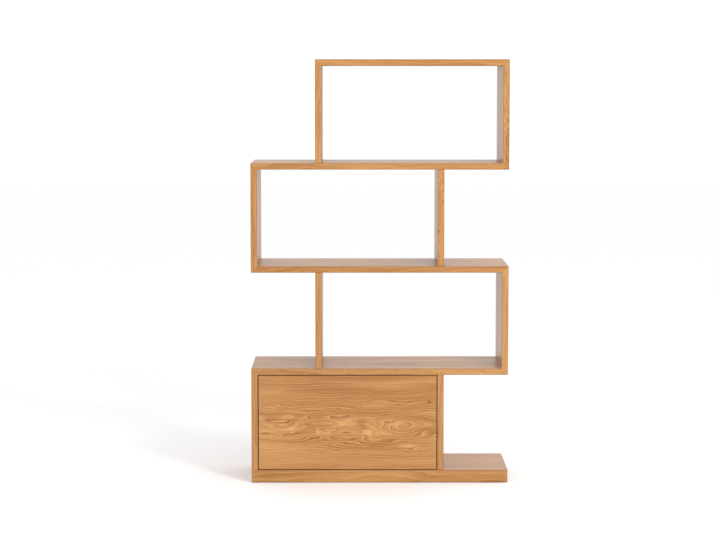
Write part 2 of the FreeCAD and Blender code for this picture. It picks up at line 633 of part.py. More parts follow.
# That distance, the arm, is as long as the cabinet's depth allows. With the flap shut the
# rod runs rearward by the arm times the sum of two sines, less a share of the flap pivot's
# distance behind the hinge axis, and then by what it needs in and past the guide.
QUARTER_TURN = 90
ROD_TAIL = "(guide_length / 2 + stop_gap + collar_length)"
ROD_RUN = f"({BACK_FRONT} - rod_room - {PIVOT_Y} - {ROD_TAIL})"
GUIDE_LEAN = f"(guide_angle - {QUARTER_TURN})"
ARM_SHARE = f"(sin({GUIDE_LEAN} + open_angle / 2) + sin(open_angle / 2))"
STAY_ARM = f"(({ROD_RUN} + {PIVOT_BACK} * cos(open_angle / 2)) / {ARM_SHARE})"

PIVOT_Z = f"({HINGE_Z} + sqrt({STAY_ARM} ^ 2 - {PIVOT_BACK} ^ 2))"
GUIDE_Y = f"({HINGE_Y} + {STAY_ARM} * sin({GUIDE_LEAN}))"
GUIDE_Z = f"({HINGE_Z} + {STAY_ARM} * cos({GUIDE_LEAN}))"
PIVOT_LEAN = f"asin({PIVOT_BACK} / {STAY_ARM})"
ROD_TILT = f"({PIVOT_LEAN} + {GUIDE_LEAN} * 1 deg) / 2"
OPEN_REACH = f"(2 * {STAY_ARM} * sin((({GUIDE_LEAN} + open_angle) * 1 deg - {PIVOT_LEAN}) / 2))"
ROD_LENGTH = f"({OPEN_REACH} + {ROD_TAIL})"


def place_on_rod(body, x, y, z):
    """Set a piece down with its own Y axis along the rod, at the shut flap's slope."""
    body.Placement.Rotation = FreeCAD.Rotation(FreeCAD.Vector(-1, 0, 0), value(ROD_TILT))
    body.setExpression("Placement.Rotation.Angle", bound(ROD_TILT))
    for letter, text in (("x", x), ("y", y), ("z", z)):
        body.setExpression(f"Placement.Base.{letter}", bound(text))


def is_rim(edge, axis, reach, radius):
    """True for a round edge at the given reach along an axis, with the given radius."""
    if not isinstance(edge.Curve, Part.Circle):
        return False
    at_reach = abs(abs(edge.Curve.Center.dot(ALONG[axis])) - reach) < SAME_PLACE
    return at_reach and abs(edge.Curve.Radius - radius) < SAME_PLACE


for side, face, inward, upright, edging in SIDES:
    outward = "-" if inward == "+" else "+"
    way_in = FreeCAD.Vector(1 if inward == "+" else -1, 0, 0)
    rod_x = f"({face} {inward} rod_inset)"

    # Side plate with its riveted stud
    plate = new_body(f"stay_plate_{side}")
    plate_face = f"{face} {inward} plate_thick"
    extrude(plate, "sheet", "X", face, plate_face, [rectangle(
        f"{GUIDE_Y} - plate_width / 2", f"{GUIDE_Y} + plate_width / 2",
        f"{GUIDE_Z} - plate_height / 2", f"{GUIDE_Z} + plate_height / 2")])
    finish_edges(plate, "corners", "Fillet", "plate_round", lambda edge: on_line(edge, ALONG["X"]))
    extrude(plate, "stud", "X", face, f"{plate_face} {inward} stud_length",
            circles=[(GUIDE_Y, GUIDE_Z, "stud_diameter")])
    spots = [(GUIDE_Y, f"{GUIDE_Z} {sign} plate_screw_pitch / 2") for sign in ("-", "+")]
    screw_holes(plate, "screws", "X", plate_face, inward == "-", spots)
    pilot_holes(upright, "stay_pilots", "X", face, f"{plate_face} {outward} (screw_length + end_gap)",
                spots)
    for y, z in spots:
        screw("cabinet_screws", plate_face, y, z, -way_in)

    # Swivelling guide: a barrel for the rod, a boss for the stud and one for the brake screw
    guide = new_body(f"stay_guide_{side}")
    half_guide = "(guide_length / 2)"
    extrude(guide, "barrel", "Y", f"-{half_guide}", half_guide, circles=[("0", "0", "guide_diameter")])
    finish_edges(guide, "bevels", "Chamfer", "metal_bevel",
                 lambda edge: is_rim(edge, "Y", value(half_guide), value("guide_diameter / 2")))
    boss_out = f"{outward} (rod_inset - plate_thick - thrust_gap)"
    boss_in = f"{inward} (guide_diameter / 2 + guide_boss_height)"
    extrude(guide, "bosses", "X", boss_out, boss_in, circles=[("0", "0", "guide_boss")])
    extrude(guide, "rod_bore", "Y", f"-{half_guide}", half_guide,
            circles=[("0", "0", "rod_diameter + 2 * rod_fit")], cut=True)
    stud_end = f"{outward} (rod_inset - plate_thick - stud_length - stud_end_gap)"
    extrude(guide, "stud_bore", "X", boss_out, stud_end,
            circles=[("0", "0", "stud_diameter + 2 * pin_fit")], cut=True)
    extrude(guide, "brake_bore", "X", boss_in, "0",
            circles=[("0", "0", "brake_shank + 2 * screw_fit")], cut=True)
    place_on_rod(guide, rod_x, GUIDE_Y, GUIDE_Z)

    brake = new_body(f"stay_brake_screw_{side}")
    brake_end = f"{inward} (rod_diameter / 2 + brake_gap)"
    head_end = f"{boss_in} {inward} brake_head_length"
    extrude(brake, "shank", "X", brake_end, boss_in, circles=[("0", "0", "brake_shank")])
    extrude(brake, "head", "X", boss_in, head_end, circles=[("0", "0", "brake_head")])
    finish_edges(brake, "bevel", "Chamfer", "metal_bevel",
                 lambda edge: is_rim(edge, "X", abs(value(head_end)), value("brake_head / 2")))
    place_on_rod(brake, rod_x, GUIDE_Y, GUIDE_Z)

    # Rod with its eye, and the stop collar on its free end
    rod = new_body(f"stay_rod_{side}")
    extrude(rod, "bar", "Y", "0", ROD_LENGTH, circles=[("0", "0", "rod_diameter")])
    finish_edges(rod, "bevel", "Chamfer", "metal_bevel",
                 lambda edge: is_rim(edge, "Y", value(ROD_LENGTH), value("rod_diameter / 2")))
    extrude(rod, "eye", "X", "-rod_diameter / 2", "rod_diameter / 2", circles=[("0", "0", "rod_eye")])
    extrude(rod, "eye_bore", "X", "-rod_diameter / 2", "rod_diameter / 2",
            circles=[("0", "0", "pivot_diameter + 2 * pin_fit")], cut=True)
    place_on_rod(rod, rod_x, PIVOT_Y, PIVOT_Z)

    collar = new_body(f"stay_collar_{side}")
    extrude(collar, "ring", "Y", f"{ROD_LENGTH} - collar_length", ROD_LENGTH,
            circles=[("0", "0", "collar_diameter"), ("0", "0", "rod_diameter + 2 * screw_fit")])
    collar_rims = (value(ROD_LENGTH), value(f"{ROD_LENGTH} - collar_length"))
    finish_edges(collar, "bevels", "Chamfer", "metal_bevel",
                 lambda edge: any(is_rim(edge, "Y", rim, value("collar_diameter / 2"))
                                  for rim in collar_rims))
    place_on_rod(collar, rod_x, PIVOT_Y, PIVOT_Z)

    # Forked bracket on the flap, and the pin through its ears and the eye
    bracket = new_body(f"stay_bracket_{side}")
    half_fork = "(rod_diameter / 2 + thrust_gap + ear_thick)"
    ear_inner = "(rod_diameter / 2 + thrust_gap)"
    web_face = f"{FLAP_INNER} + web_thick"
    extrude(bracket, "web", "Y", FLAP_INNER, web_face, [rectangle(
        f"{rod_x} - {half_fork}", f"{rod_x} + {half_fork}",
        f"{PIVOT_Z} - web_height / 2", f"{PIVOT_Z} + web_height / 2")])
    ear = [(FLAP_INNER, f"{PIVOT_Z} - ear_root / 2"), (PIVOT_Y, f"{PIVOT_Z} - rod_eye / 2"),
           (PIVOT_Y, f"{PIVOT_Z} + rod_eye / 2"), (FLAP_INNER, f"{PIVOT_Z} + ear_root / 2")]
    for name, sign in (("ear_left", "-"), ("ear_right", "+")):
        start = f"{rod_x} {sign} {ear_inner}"
        end = f"{rod_x} {sign} {half_fork}"
        extrude(bracket, name, "X", start, end, [ear])
        extrude(bracket, f"{name}_round", "X", start, end, circles=[(PIVOT_Y, PIVOT_Z, "rod_eye")])
    extrude(bracket, "pin_hole", "X", f"{rod_x} - {half_fork}", f"{rod_x} + {half_fork}",
            circles=[(PIVOT_Y, PIVOT_Z, "pivot_diameter + 2 * screw_fit")], cut=True)
    spots = [(rod_x, f"{PIVOT_Z} {sign} bracket_screw_pitch / 2") for sign in ("-", "+")]
    screw_holes(bracket, "screws", "Y", web_face, False, spots)
    pilot_holes(flap_sides, f"bracket_pilots_{side}", "Y", FLAP_INNER,
                f"{web_face} - (screw_length + end_gap)", spots)
    for x, z in spots:
        screw("flap_screws", x, web_face, z, FreeCAD.Vector(0, -1, 0))

    pivot = new_body(f"stay_pivot_pin_{side}")
    head_face = f"{rod_x} {inward} {half_fork}"
    extrude(pivot, "shank", "X", f"{rod_x} {outward} {half_fork}", head_face,
            circles=[(PIVOT_Y, PIVOT_Z, "pivot_diameter")])
    extrude(pivot, "head", "X", head_face, f"{head_face} {inward} pivot_head_length",
            circles=[(PIVOT_Y, PIVOT_Z, "pivot_head")])

# Touch latch under the shelf, behind the flap's upper edge. The strike plate on the flap is
# as thick as a screw head is high.
LATCH_TOP = shelf_under(1)
LATCH_Z = f"({LATCH_TOP} - latch_height / 2)"
STRIKE_FACE = f"({FLAP_INNER} + {HEAD_HEIGHT})"
PLUNGER_TIP = f"({STRIKE_FACE} + latch_play)"
PLUNGER_NECK = f"({PLUNGER_TIP} + plunger_head_length)"
LATCH_FRONT = f"({PLUNGER_NECK} + plunger_travel + latch_play)"
LATCH_REAR = f"({LATCH_FRONT} + latch_length)"
WING_MIDDLE = f"({LATCH_FRONT} + latch_length / 2)"

housing = new_body("latch_housing")
extrude(housing, "body", "Z", f"{LATCH_TOP} - latch_height", LATCH_TOP, [rectangle(
    f"{CABINET_MIDDLE} - latch_width / 2", f"{CABINET_MIDDLE} + latch_width / 2",
    LATCH_FRONT, LATCH_REAR)])
finish_edges(housing, "edges", "Fillet", "latch_round",
             lambda edge: on_line(edge, ALONG["Y"]) and edge.CenterOfMass.z < value(LATCH_Z))
extrude(housing, "wings", "Z", f"{LATCH_TOP} - wing_thick", LATCH_TOP, [rectangle(
    f"{CABINET_MIDDLE} - wing_span / 2", f"{CABINET_MIDDLE} + wing_span / 2",
    f"{WING_MIDDLE} - wing_length / 2", f"{WING_MIDDLE} + wing_length / 2")])
extrude(housing, "bore", "Y", LATCH_FRONT,
        f"{LATCH_FRONT} + plunger_in_housing + plunger_travel + latch_play",
        circles=[(CABINET_MIDDLE, LATCH_Z, "plunger_diameter + 2 * plunger_fit")], cut=True)
spots = [(f"{CABINET_MIDDLE} {sign} wing_screw_pitch / 2", WING_MIDDLE) for sign in ("-", "+")]
wing_face = f"{LATCH_TOP} - wing_thick"
screw_holes(housing, "screws", "Z", wing_face, True, spots)
pilot_holes(boards["lower_shelf"], "latch_pilots", "Z", LATCH_TOP,
            f"{wing_face} + screw_length + end_gap", spots)
for x, y in spots:
    screw("cabinet_screws", x, y, wing_face, FreeCAD.Vector(0, 0, 1))

plunger = new_body("latch_plunger")
extrude(plunger, "head", "Y", PLUNGER_TIP, PLUNGER_NECK,
        circles=[(CABINET_MIDDLE, LATCH_Z, "plunger_head")])
finish_edges(plunger, "rounding", "Fillet", "plunger_round",
             lambda edge: isinstance(edge.Curve, Part.Circle))
extrude(plunger, "shaft", "Y", PLUNGER_NECK, f"{LATCH_FRONT} + plunger_in_housing",
        circles=[(CABINET_MIDDLE, LATCH_Z, "plunger_diameter")])

strike = new_body("latch_strike")
extrude(strike, "plate", "Y", FLAP_INNER, STRIKE_FACE, [rectangle(
    f"{CABINET_MIDDLE} - strike_width / 2", f"{CABINET_MIDDLE} + strike_width / 2",
    f"{LATCH_Z} - strike_height / 2", f"{LATCH_Z} + strike_height / 2")])
finish_edges(strike, "corners", "Fillet", "plate_round", lambda edge: on_line(edge, ALONG["Y"]))
spots = [(f"{CABINET_MIDDLE} {sign} strike_screw_pitch / 2", LATCH_Z) for sign in ("-", "+")]
screw_holes(strike, "screws", "Y", STRIKE_FACE, False, spots)
pilot_holes(flap_ends, "strike_pilots", "Y", FLAP_INNER, f"{STRIKE_FACE} - (screw_length + end_gap)",
            spots)
for x, z in spots:
    screw("flap_screws", x, STRIKE_FACE, z, FreeCAD.Vector(0, -1, 0))

for group, links in SCREWED.items():
    compound = doc.addObject("Part::Compound", group)
    compound.Label = group
    compound.Links = links

doc.recompute()

# Nothing is written unless every object is sound and every cut has removed wood or metal
for item in doc.Objects:
    if "Invalid" in item.State or "Error" in item.State:
        raise RuntimeError(f"{item.Label} did not rebuild: {item.State}")
    if item.TypeId in ("PartDesign::Pocket", "PartDesign::Hole"):
        removed = item.BaseFeature.Shape.Volume - item.Shape.Volume
        if removed < LEAST_CUT:
            raise RuntimeError(f"{item.Label} cuts nothing")

nodes = [item for item in doc.Objects if item.TypeId == "PartDesign::Body" and item is not screw_form]
nodes += [item for item in doc.Objects if item.TypeId == "Part::Compound"]
os.makedirs("parts", exist_ok=True)
for node in nodes:
    shape = node.Shape
    if shape.isNull() or not shape.isValid():
        raise RuntimeError(f"{node.Label} is not a sound solid")
    shape.exportStep(f"parts/{node.Label}.step")
print(f"{len(nodes)} sub-parts written, arm {value(STAY_ARM):.4f}, rod tilt {value(ROD_TILT):.3f} degrees")
print(f"flap pivot y {value(PIVOT_Y):.4f} z {value(PIVOT_Z):.4f}")
print(f"guide pivot y {value(GUIDE_Y):.4f} z {value(GUIDE_Z):.4f}")
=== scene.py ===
import math
import bpy
import numpy as np
from mathutils import Euler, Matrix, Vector


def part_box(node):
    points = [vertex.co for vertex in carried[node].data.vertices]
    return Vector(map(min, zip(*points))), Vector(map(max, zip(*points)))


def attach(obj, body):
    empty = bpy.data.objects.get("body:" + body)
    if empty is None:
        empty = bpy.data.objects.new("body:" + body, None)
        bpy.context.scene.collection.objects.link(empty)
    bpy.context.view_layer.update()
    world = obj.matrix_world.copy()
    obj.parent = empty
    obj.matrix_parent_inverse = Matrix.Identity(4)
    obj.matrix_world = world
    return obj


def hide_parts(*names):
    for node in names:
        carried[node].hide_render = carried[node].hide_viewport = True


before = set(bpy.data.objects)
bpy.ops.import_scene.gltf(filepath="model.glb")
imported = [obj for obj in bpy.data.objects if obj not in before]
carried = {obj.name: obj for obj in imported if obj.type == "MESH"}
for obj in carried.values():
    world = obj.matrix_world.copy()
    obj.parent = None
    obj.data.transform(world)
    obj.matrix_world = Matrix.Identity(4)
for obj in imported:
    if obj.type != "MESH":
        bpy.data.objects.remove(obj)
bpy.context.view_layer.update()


# Boards. The base, three shelves, the top and eight uprights are engineered cores with a
# sliced oak veneer on both faces, sanded and sprayed with a clear satin lacquer. Shelves
# have their grain from side to side, uprights from floor to ceiling.

def add_node(tree, kind, inputs, **settings):
    """One shader node; each input is a number, a colour or another node's output."""
    node = tree.nodes.new(f"ShaderNode{kind}")
    for name, setting in settings.items():
        setattr(node, name, setting)
    for name, source in inputs.items():
        if isinstance(source, bpy.types.NodeSocket):
            tree.links.new(source, node.inputs[name])
        else:
            node.inputs[name].default_value = source
    return node


def maths(tree, operation, *terms, clamp=False):
    """Result of one arithmetic step on numbers or on outputs of other nodes."""
    return add_node(tree, "Math", dict(enumerate(terms)), operation=operation, use_clamp=clamp).outputs[0]


def vector_maths(tree, operation, first, second):
    """Result of one arithmetic step on two places, axis by axis."""
    return add_node(tree, "VectorMath", {0: first, 1: second}, operation=operation).outputs[0]


def remap(tree, value, start, end, first=0.0, last=1.0, curve="LINEAR"):
    """Value between start and end turned into one between first and last, and held beyond them."""
    return add_node(tree, "MapRange", {"Value": value, "From Min": start, "From Max": end, "To Min": first,
                                       "To Max": last}, interpolation_type=curve).outputs[0]


def blend_colours(tree, mask, first, second):
    """First colour where the mask is 0, second where it is 1."""
    return add_node(tree, "MixRGB", {0: mask, 1: first, 2: second}).outputs[0]


def stretched_noise(tree, place, cells, detail=2.0):
    """Noise from 0 to 1 with its own number of cells in a metre along each axis."""
    scaled = vector_maths(tree, "MULTIPLY", place, cells)
    return add_node(tree, "TexNoise", {"Vector": scaled, "Scale": 1.0, "Detail": detail}).outputs[0]


def swing(tree, noise, reach):
    """Noise turned into a swing of plus or minus the reach."""
    centred = maths(tree, "SUBTRACT", noise, 0.5)
    return maths(tree, "MULTIPLY", centred, maths(tree, "MULTIPLY", reach, 2.0))


def new_group(name, inputs, outputs):
    """Empty shader group with named sockets; gives the group, what comes in and what goes out."""
    kinds = {"number": "NodeSocketFloat", "place": "NodeSocketVector", "colour": "NodeSocketColor"}
    group = bpy.data.node_groups.new(name, "ShaderNodeTree")
    for label, kind, start in inputs:
        socket = group.interface.new_socket(label, in_out="INPUT", socket_type=kinds[kind])
        socket.default_value = start
    for label, kind in outputs:
        group.interface.new_socket(label, in_out="OUTPUT", socket_type=kinds[kind])
    given = group.nodes.new("NodeGroupInput").outputs
    result = group.nodes.new("NodeGroupOutput").inputs
    return group, given, result


# Cells of noise in a metre along the grain, across it and into the wood
WANDER_CELLS = (1.7, 0.4, 0.4)
SWELL_CELLS = (2.6, 0.7, 0.7)
BROAD_CELLS = (7.5, 36.0, 36.0)
FINE_CELLS = (23.0, 80.0, 80.0)
CURL_CELLS = (55.0, 40.0, 40.0)
FINE_RIPPLE = 0.17
LEAST_RIPPLE = 0.0003


def number_rings(group, given, axes, place):
    """Ring number, and the slant from 0 to 1 at which the cut crosses the rings.

    Ring number = distance from the heart line, warped, over the ring width, plus the extra
    rings. The heart line wanders sideways and rises and falls slowly along the grain, which
    closes the rings into arches. The warps are ripples of a hand's and of a finger's width,
    and curls. The slant is the distance sideways over the whole distance.
    """
    wander = swing(group, stretched_noise(group, place, WANDER_CELLS), given["Wander"])
    swell = swing(group, stretched_noise(group, place, SWELL_CELLS), given["Swell"])
    broad = swing(group, stretched_noise(group, place, BROAD_CELLS, 0.5), given["Ripple"])
    small = maths(group, "MULTIPLY_ADD", given["Ripple"], FINE_RIPPLE, LEAST_RIPPLE)
    fine = swing(group, stretched_noise(group, place, FINE_CELLS, 1.0), small)
    curl = swing(group, stretched_noise(group, place, CURL_CELLS, 1.0), given["Curl"])
    aside = maths(group, "SUBTRACT", maths(group, "SUBTRACT", axes[1], given["Heart"]), wander)
    below = maths(group, "ADD", maths(group, "ADD", axes[2], given["Cut"]), swell)
    squares = maths(group, "MULTIPLY_ADD", aside, aside, maths(group, "MULTIPLY", below, below))
    distance = maths(group, "SQRT", squares)
    warp = maths(group, "ADD", maths(group, "ADD", broad, fine), curl)
    radius = maths(group, "ADD", distance, warp)
    rings = maths(group, "ADD", maths(group, "DIVIDE", radius, given["Ring"]), given["Extra Rings"])
    slant = maths(group, "DIVIDE", maths(group, "ABSOLUTE", aside), distance)
    return rings, slant


# Darkness through one ring, which starts just before its dark line
RING_TONES = ((0.0, 0.46), (0.09, 0.95), (0.19, 0.42), (0.31, 0.08), (0.42, 0.0), (0.60, 0.36), (1.0, 0.46))
EVEN_TONE = 0.36
FLAT_SHARPNESS = 0.45
SLANT_SHARPNESS = 1.1


def draw_ring_lines(group, rings, slant):
    """Darkness through each ring: a narrow dark line, then the palest wood, which darkens slowly.

    The darkness is drawn towards an even tone where the slant is small, because there the cut
    runs flat to the rings and their lines are wide and faint.
    """
    ramp = add_node(group, "ValToRGB", {0: maths(group, "FRACT", rings)})
    stops = ramp.color_ramp.elements
    for position, _ in RING_TONES[1:-1]:
        stops.new(position)
    for stop, (_, level) in zip(stops, RING_TONES):
        stop.color = (level, level, level, 1.0)
    sharpness = maths(group, "MULTIPLY_ADD", slant, SLANT_SHARPNESS, FLAT_SHARPNESS, clamp=True)
    from_even = maths(group, "MULTIPLY", maths(group, "SUBTRACT", ramp.outputs[0], EVEN_TONE), sharpness)
    return maths(group, "ADD", from_even, EVEN_TONE)


TONE_CELLS_A_RING = 0.30
TONE_CELLS_A_METRE = 2.1
TONE_RANGE = (0.30, 0.70)


def drift_tone(group, given, rings, along):
    """Tone from 0 to 1 that drifts from ring to ring and slowly along the grain.

    It is noise at a place made of the ring number and the distance along the grain, so that
    years of pale or dark wood lie side by side.
    """
    ring_place = maths(group, "MULTIPLY", rings, TONE_CELLS_A_RING)
    along_place = maths(group, "MULTIPLY", along, TONE_CELLS_A_METRE)
    year = add_node(group, "CombineXYZ", {0: ring_place, 1: given["Seed"], 2: along_place}).outputs[0]
    years = add_node(group, "TexNoise", {"Vector": year, "Scale": 1.0, "Detail": 4.0, "Roughness": 0.62})
    return remap(group, years.outputs[0], *TONE_RANGE)


PALE_OAK = (0.545, 0.285, 0.093, 1.0)
DEEP_OAK = (0.275, 0.092, 0.012, 1.0)
LINE_DEPTH = 0.62
PALE_WOOD_LINES = 0.55
LINE_RELIEF = 0.18
STREAK_CELLS = (2.4, 34.0, 34.0)
STREAK_DEPTH = 0.20
STREAK_ROUGHNESS = 0.05
FIBRE_CELLS = (20.0, 800.0, 800.0)
FIBRE_DEPTH = 0.10
PORE_CELLS = (95.0, 2600.0, 2600.0)
PORE_RANGE = (0.60, 0.70)
PORES_ELSEWHERE = 0.15
PORES_IN_LINES = 0.75
PORE_SHADE = 0.42
PORE_DEPTH = 0.65
PORE_ROUGHNESS = 0.14

# What each group of a finish puts out
SURFACE = [("Colour", "colour"), ("Roughness", "number"), ("Relief", "number")]


def make_oak_grain():
    """Rings of a trunk cut lengthwise: x runs along the grain, y across it, z into the wood.

    Depth of colour = contrast times the sum of drifting tone and ring lines, plus streaks,
    fibres and shade. Ring lines are deeper where the tone is. Pores are dashes a few
    millimetres long, most of them in the dark lines; they darken, roughen and hollow the face.
    """
    group, given, result = new_group("oak_grain", [
        ("Place", "place", (0, 0, 0)), ("Heart", "number", 0.0), ("Cut", "number", 0.05),
        ("Wander", "number", 0.02), ("Swell", "number", 0.03), ("Ripple", "number", 0.005),
        ("Curl", "number", 0.0), ("Ring", "number", 0.006), ("Extra Rings", "number", 0.0),
        ("Shade", "number", 0.0), ("Seed", "number", 0.0), ("Contrast", "number", 0.6),
        ("Drift", "number", 0.42), ("Pale", "colour", PALE_OAK), ("Deep", "colour", DEEP_OAK),
        ("Sheen", "number", 0.34),
    ], SURFACE)
    axes = add_node(group, "SeparateXYZ", {0: given["Place"]}).outputs
    offset = add_node(group, "CombineXYZ", {0: given["Seed"], 1: given["Seed"], 2: given["Seed"]}).outputs[0]
    place = vector_maths(group, "ADD", given["Place"], offset)
    rings, slant = number_rings(group, given, axes, place)
    lines = draw_ring_lines(group, rings, slant)
    tone = drift_tone(group, given, rings, axes[0])
    streaks = stretched_noise(group, place, STREAK_CELLS, 3.0)
    fibre = stretched_noise(group, place, FIBRE_CELLS)

    strength = maths(group, "MULTIPLY", lines, LINE_DEPTH)
    porous = maths(group, "MULTIPLY", strength, maths(group, "ADD", tone, PALE_WOOD_LINES))
    drift = maths(group, "MULTIPLY", tone, given["Drift"])
    depth = maths(group, "MULTIPLY", given["Contrast"], maths(group, "ADD", drift, porous))
    depth = maths(group, "ADD", depth, swing(group, streaks, STREAK_DEPTH))
    depth = maths(group, "ADD", depth, swing(group, fibre, FIBRE_DEPTH))
    depth = maths(group, "ADD", depth, given["Shade"], clamp=True)
    body = blend_colours(group, depth, given["Pale"], given["Deep"])

    open_pores = remap(group, stretched_noise(group, place, PORE_CELLS, 1.0), *PORE_RANGE)
    share = maths(group, "MULTIPLY_ADD", lines, PORES_IN_LINES, PORES_ELSEWHERE)
    pores = maths(group, "MULTIPLY", open_pores, share)
    pore_colour = vector_maths(group, "MULTIPLY", given["Deep"], (PORE_SHADE, PORE_SHADE, PORE_SHADE))
    coloured = blend_colours(group, maths(group, "MULTIPLY", pores, PORE_DEPTH), body, pore_colour)
    rough = maths(group, "ADD", maths(group, "MULTIPLY_ADD", pores, PORE_ROUGHNESS, given["Sheen"]),
                  swing(group, streaks, STREAK_ROUGHNESS))
    relief = maths(group, "MULTIPLY_ADD", pores, -1.0, maths(group, "MULTIPLY", lines, -LINE_RELIEF))
    group.links.new(coloured, result["Colour"])
    group.links.new(rough, result["Roughness"])
    group.links.new(relief, result["Relief"])
    return group


EDGE_WIDTH = 0.0034
EDGE_PATCH_CELLS = (60.0, 60.0, 60.0)
LEAST_EDGE_SHADE = 0.15
PATCHY_EDGE_SHADE = 1.3


def make_edge_shade():
    """Mask from 0 to 1 along the edges of a square-cornered piece between two corners, where shade is
    painted.

    Nearness to a face falls smoothly from 1 to 0 over the width; the mask is the largest
    product of nearness to two faces that aren't parallel, broken up by noise.
    """
    group, given, result = new_group("edge_shade", [
        ("Place", "place", (0, 0, 0)), ("Low", "place", (0, 0, 0)), ("High", "place", (0, 0, 0)),
        ("Width", "number", EDGE_WIDTH),
    ], [("Mask", "number")])
    above = vector_maths(group, "SUBTRACT", given["Place"], given["Low"])
    under = vector_maths(group, "SUBTRACT", given["High"], given["Place"])
    distances = add_node(group, "SeparateXYZ", {0: vector_maths(group, "MINIMUM", above, under)}).outputs
    near = [remap(group, distance, 0.0, given["Width"], 1.0, 0.0, "SMOOTHSTEP") for distance in distances]
    pairs = [maths(group, "MULTIPLY", near[axis], near[axis - 1]) for axis in range(3)]
    edge = maths(group, "MAXIMUM", maths(group, "MAXIMUM", pairs[0], pairs[1]), pairs[2])
    patches = stretched_noise(group, given["Place"], EDGE_PATCH_CELLS, 3.0)
    patchy = maths(group, "MULTIPLY_ADD", patches, PATCHY_EDGE_SHADE, LEAST_EDGE_SHADE, clamp=True)
    group.links.new(maths(group, "MULTIPLY", edge, patchy), result["Mask"])
    return group


OAK_GRAIN = make_oak_grain()
EDGE_SHADE_MASK = make_edge_shade()

# Turns that lay the grain along the X, Y or Z of a piece, or flat on the door's face
GRAIN_TURN = {
    "X": (0.0, 0.0, 0.0),
    "Y": (0.0, 0.0, -math.pi / 2),
    "Z": (0.0, math.pi / 2, 0.0),
    "panel": (-math.pi / 2, 0.0, 0.0),
}


def new_finish(name):
    """Empty material with its shader; gives the material, its nodes, shader and object place."""
    material = bpy.data.materials.new(name)
    material.use_nodes = True
    tree = material.node_tree
    shader = tree.nodes["Principled BSDF"]
    place = tree.nodes.new("ShaderNodeTexCoord").outputs["Object"]
    return material, tree, shader, place


def lay_surface(tree, shader, surface, strength, depth):
    """Give a shader a surface's colour, roughness and relief, as a bump of a full depth in metres."""
    tree.links.new(surface["Colour"], shader.inputs["Base Color"])
    tree.links.new(surface["Roughness"], shader.inputs["Roughness"])
    bump = add_node(tree, "Bump", {"Strength": strength, "Distance": depth, "Height": surface["Relief"]})
    tree.links.new(bump.outputs[0], shader.inputs["Normal"])


def centre_grain(tree, place, node, turn):
    """Place measured from the middle of a CAD piece and turned to the direction of its grain."""
    low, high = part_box(node)
    turned_middle = Euler(GRAIN_TURN[turn]).to_matrix() @ ((Vector(low) + Vector(high)) / 2)
    return add_node(tree, "Mapping", {"Vector": place, "Location": -turned_middle,
                                      "Rotation": GRAIN_TURN[turn]}).outputs[0]


def lay_grain(tree, centred, cut):
    """Oak grain at a centred place, cut as the values say; gives its colour, roughness and relief."""
    return add_node(tree, "Group", {"Place": centred, **cut}, node_tree=OAK_GRAIN).outputs


# Painted shade: the edges are darkened to stand in for the shade on the eased edges and in the gaps beside
# them
EDGE_SHADE_OAK = (0.240, 0.098, 0.026, 1.0)


def lacquer(tree, shader, place, whole, grain):
    """Satin lacquer over wood: open pores, a thin clear coat and edges darkened with painted shade.

    The shaded edges are those of the whole board or flap, given by the node that reaches
    as far as it does.
    """
    low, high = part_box(whole)
    edge = add_node(tree, "Group", {"Place": place, "Low": low, "High": high}, node_tree=EDGE_SHADE_MASK)
    edge_shaded = blend_colours(tree, edge.outputs["Mask"], grain["Colour"], EDGE_SHADE_OAK)
    surface = {"Colour": edge_shaded, "Roughness": grain["Roughness"], "Relief": grain["Relief"]}
    lay_surface(tree, shader, surface, strength=0.35, depth=0.00012)
    shader.inputs["IOR"].default_value = 1.46
    shader.inputs["Coat Weight"].default_value = 0.10
    shader.inputs["Coat Roughness"].default_value = 0.28


def oak_finish(name, node, turn, whole, **cut):
    """Lacquered oak fitted to one CAD piece, with its own cut of the trunk."""
    material, tree, shader, place = new_finish(name)
    lacquer(tree, shader, place, whole, lay_grain(tree, centre_grain(tree, place, node, turn), cut))
    return material


def dress(node, material):
    """Give a CAD piece its finish."""
    for slot in carried[node].material_slots:
        slot.material = material


# Board, grain direction, heart line across it, depth of the cut, seed and shade. The lying
# boards' veneers are paler than the uprights', partly as their own tone and partly as painted
# light on their tops
BOARDS = [
    ("base_board", "X", 0.03, 0.060, 3.1, -0.26),
    ("lower_shelf", "X", -0.05, 0.090, 5.7, -0.15),
    ("middle_shelf", "X", 0.06, 0.080, 8.3, -0.25),
    ("upper_shelf", "X", -0.02, 0.070, 11.9, -0.25),
    ("top_board", "X", 0.04, 0.085, 14.2, -0.15),
    ("cabinet_left_upright", "Z", 0.05, 0.070, 17.5, 0.20),
    ("cabinet_right_upright", "Z", -0.04, 0.080, 20.4, 0.20),
    ("lower_left_upright", "Z", 0.02, 0.075, 23.8, 0.20),
    ("lower_right_upright", "Z", -0.06, 0.060, 26.6, 0.20),
    ("middle_left_upright", "Z", 0.04, 0.090, 29.3, 0.20),
    ("middle_right_upright", "Z", -0.03, 0.080, 32.7, 0.20),
    ("upper_left_upright", "Z", 0.06, 0.070, 35.1, 0.20),
    ("upper_right_upright", "Z", -0.02, 0.085, 38.9, 0.20),
]
VENEER_RING = 0.0060
VENEER_SWELL = 0.038
VENEER_CONTRAST = {"X": 1.5, "Z": 0.85}
for node, turn, heart, cut, seed, shade in BOARDS:
    dress(node, oak_finish(f"{node}_veneer", node, turn, f"{node}_strips", Heart=heart, Cut=cut,
                           Swell=VENEER_SWELL, Seed=seed, Ring=VENEER_RING, Shade=shade,
                           Contrast=VENEER_CONTRAST[turn]))


# Edge strips. Every board's front and rear edge is a strip of solid oak, 8 mm deep, glued on
# before the faces are sanded flush, with its two outer edges eased. The base has strips on
# its ends too. At the mitred corners the strips meet along the mitre.

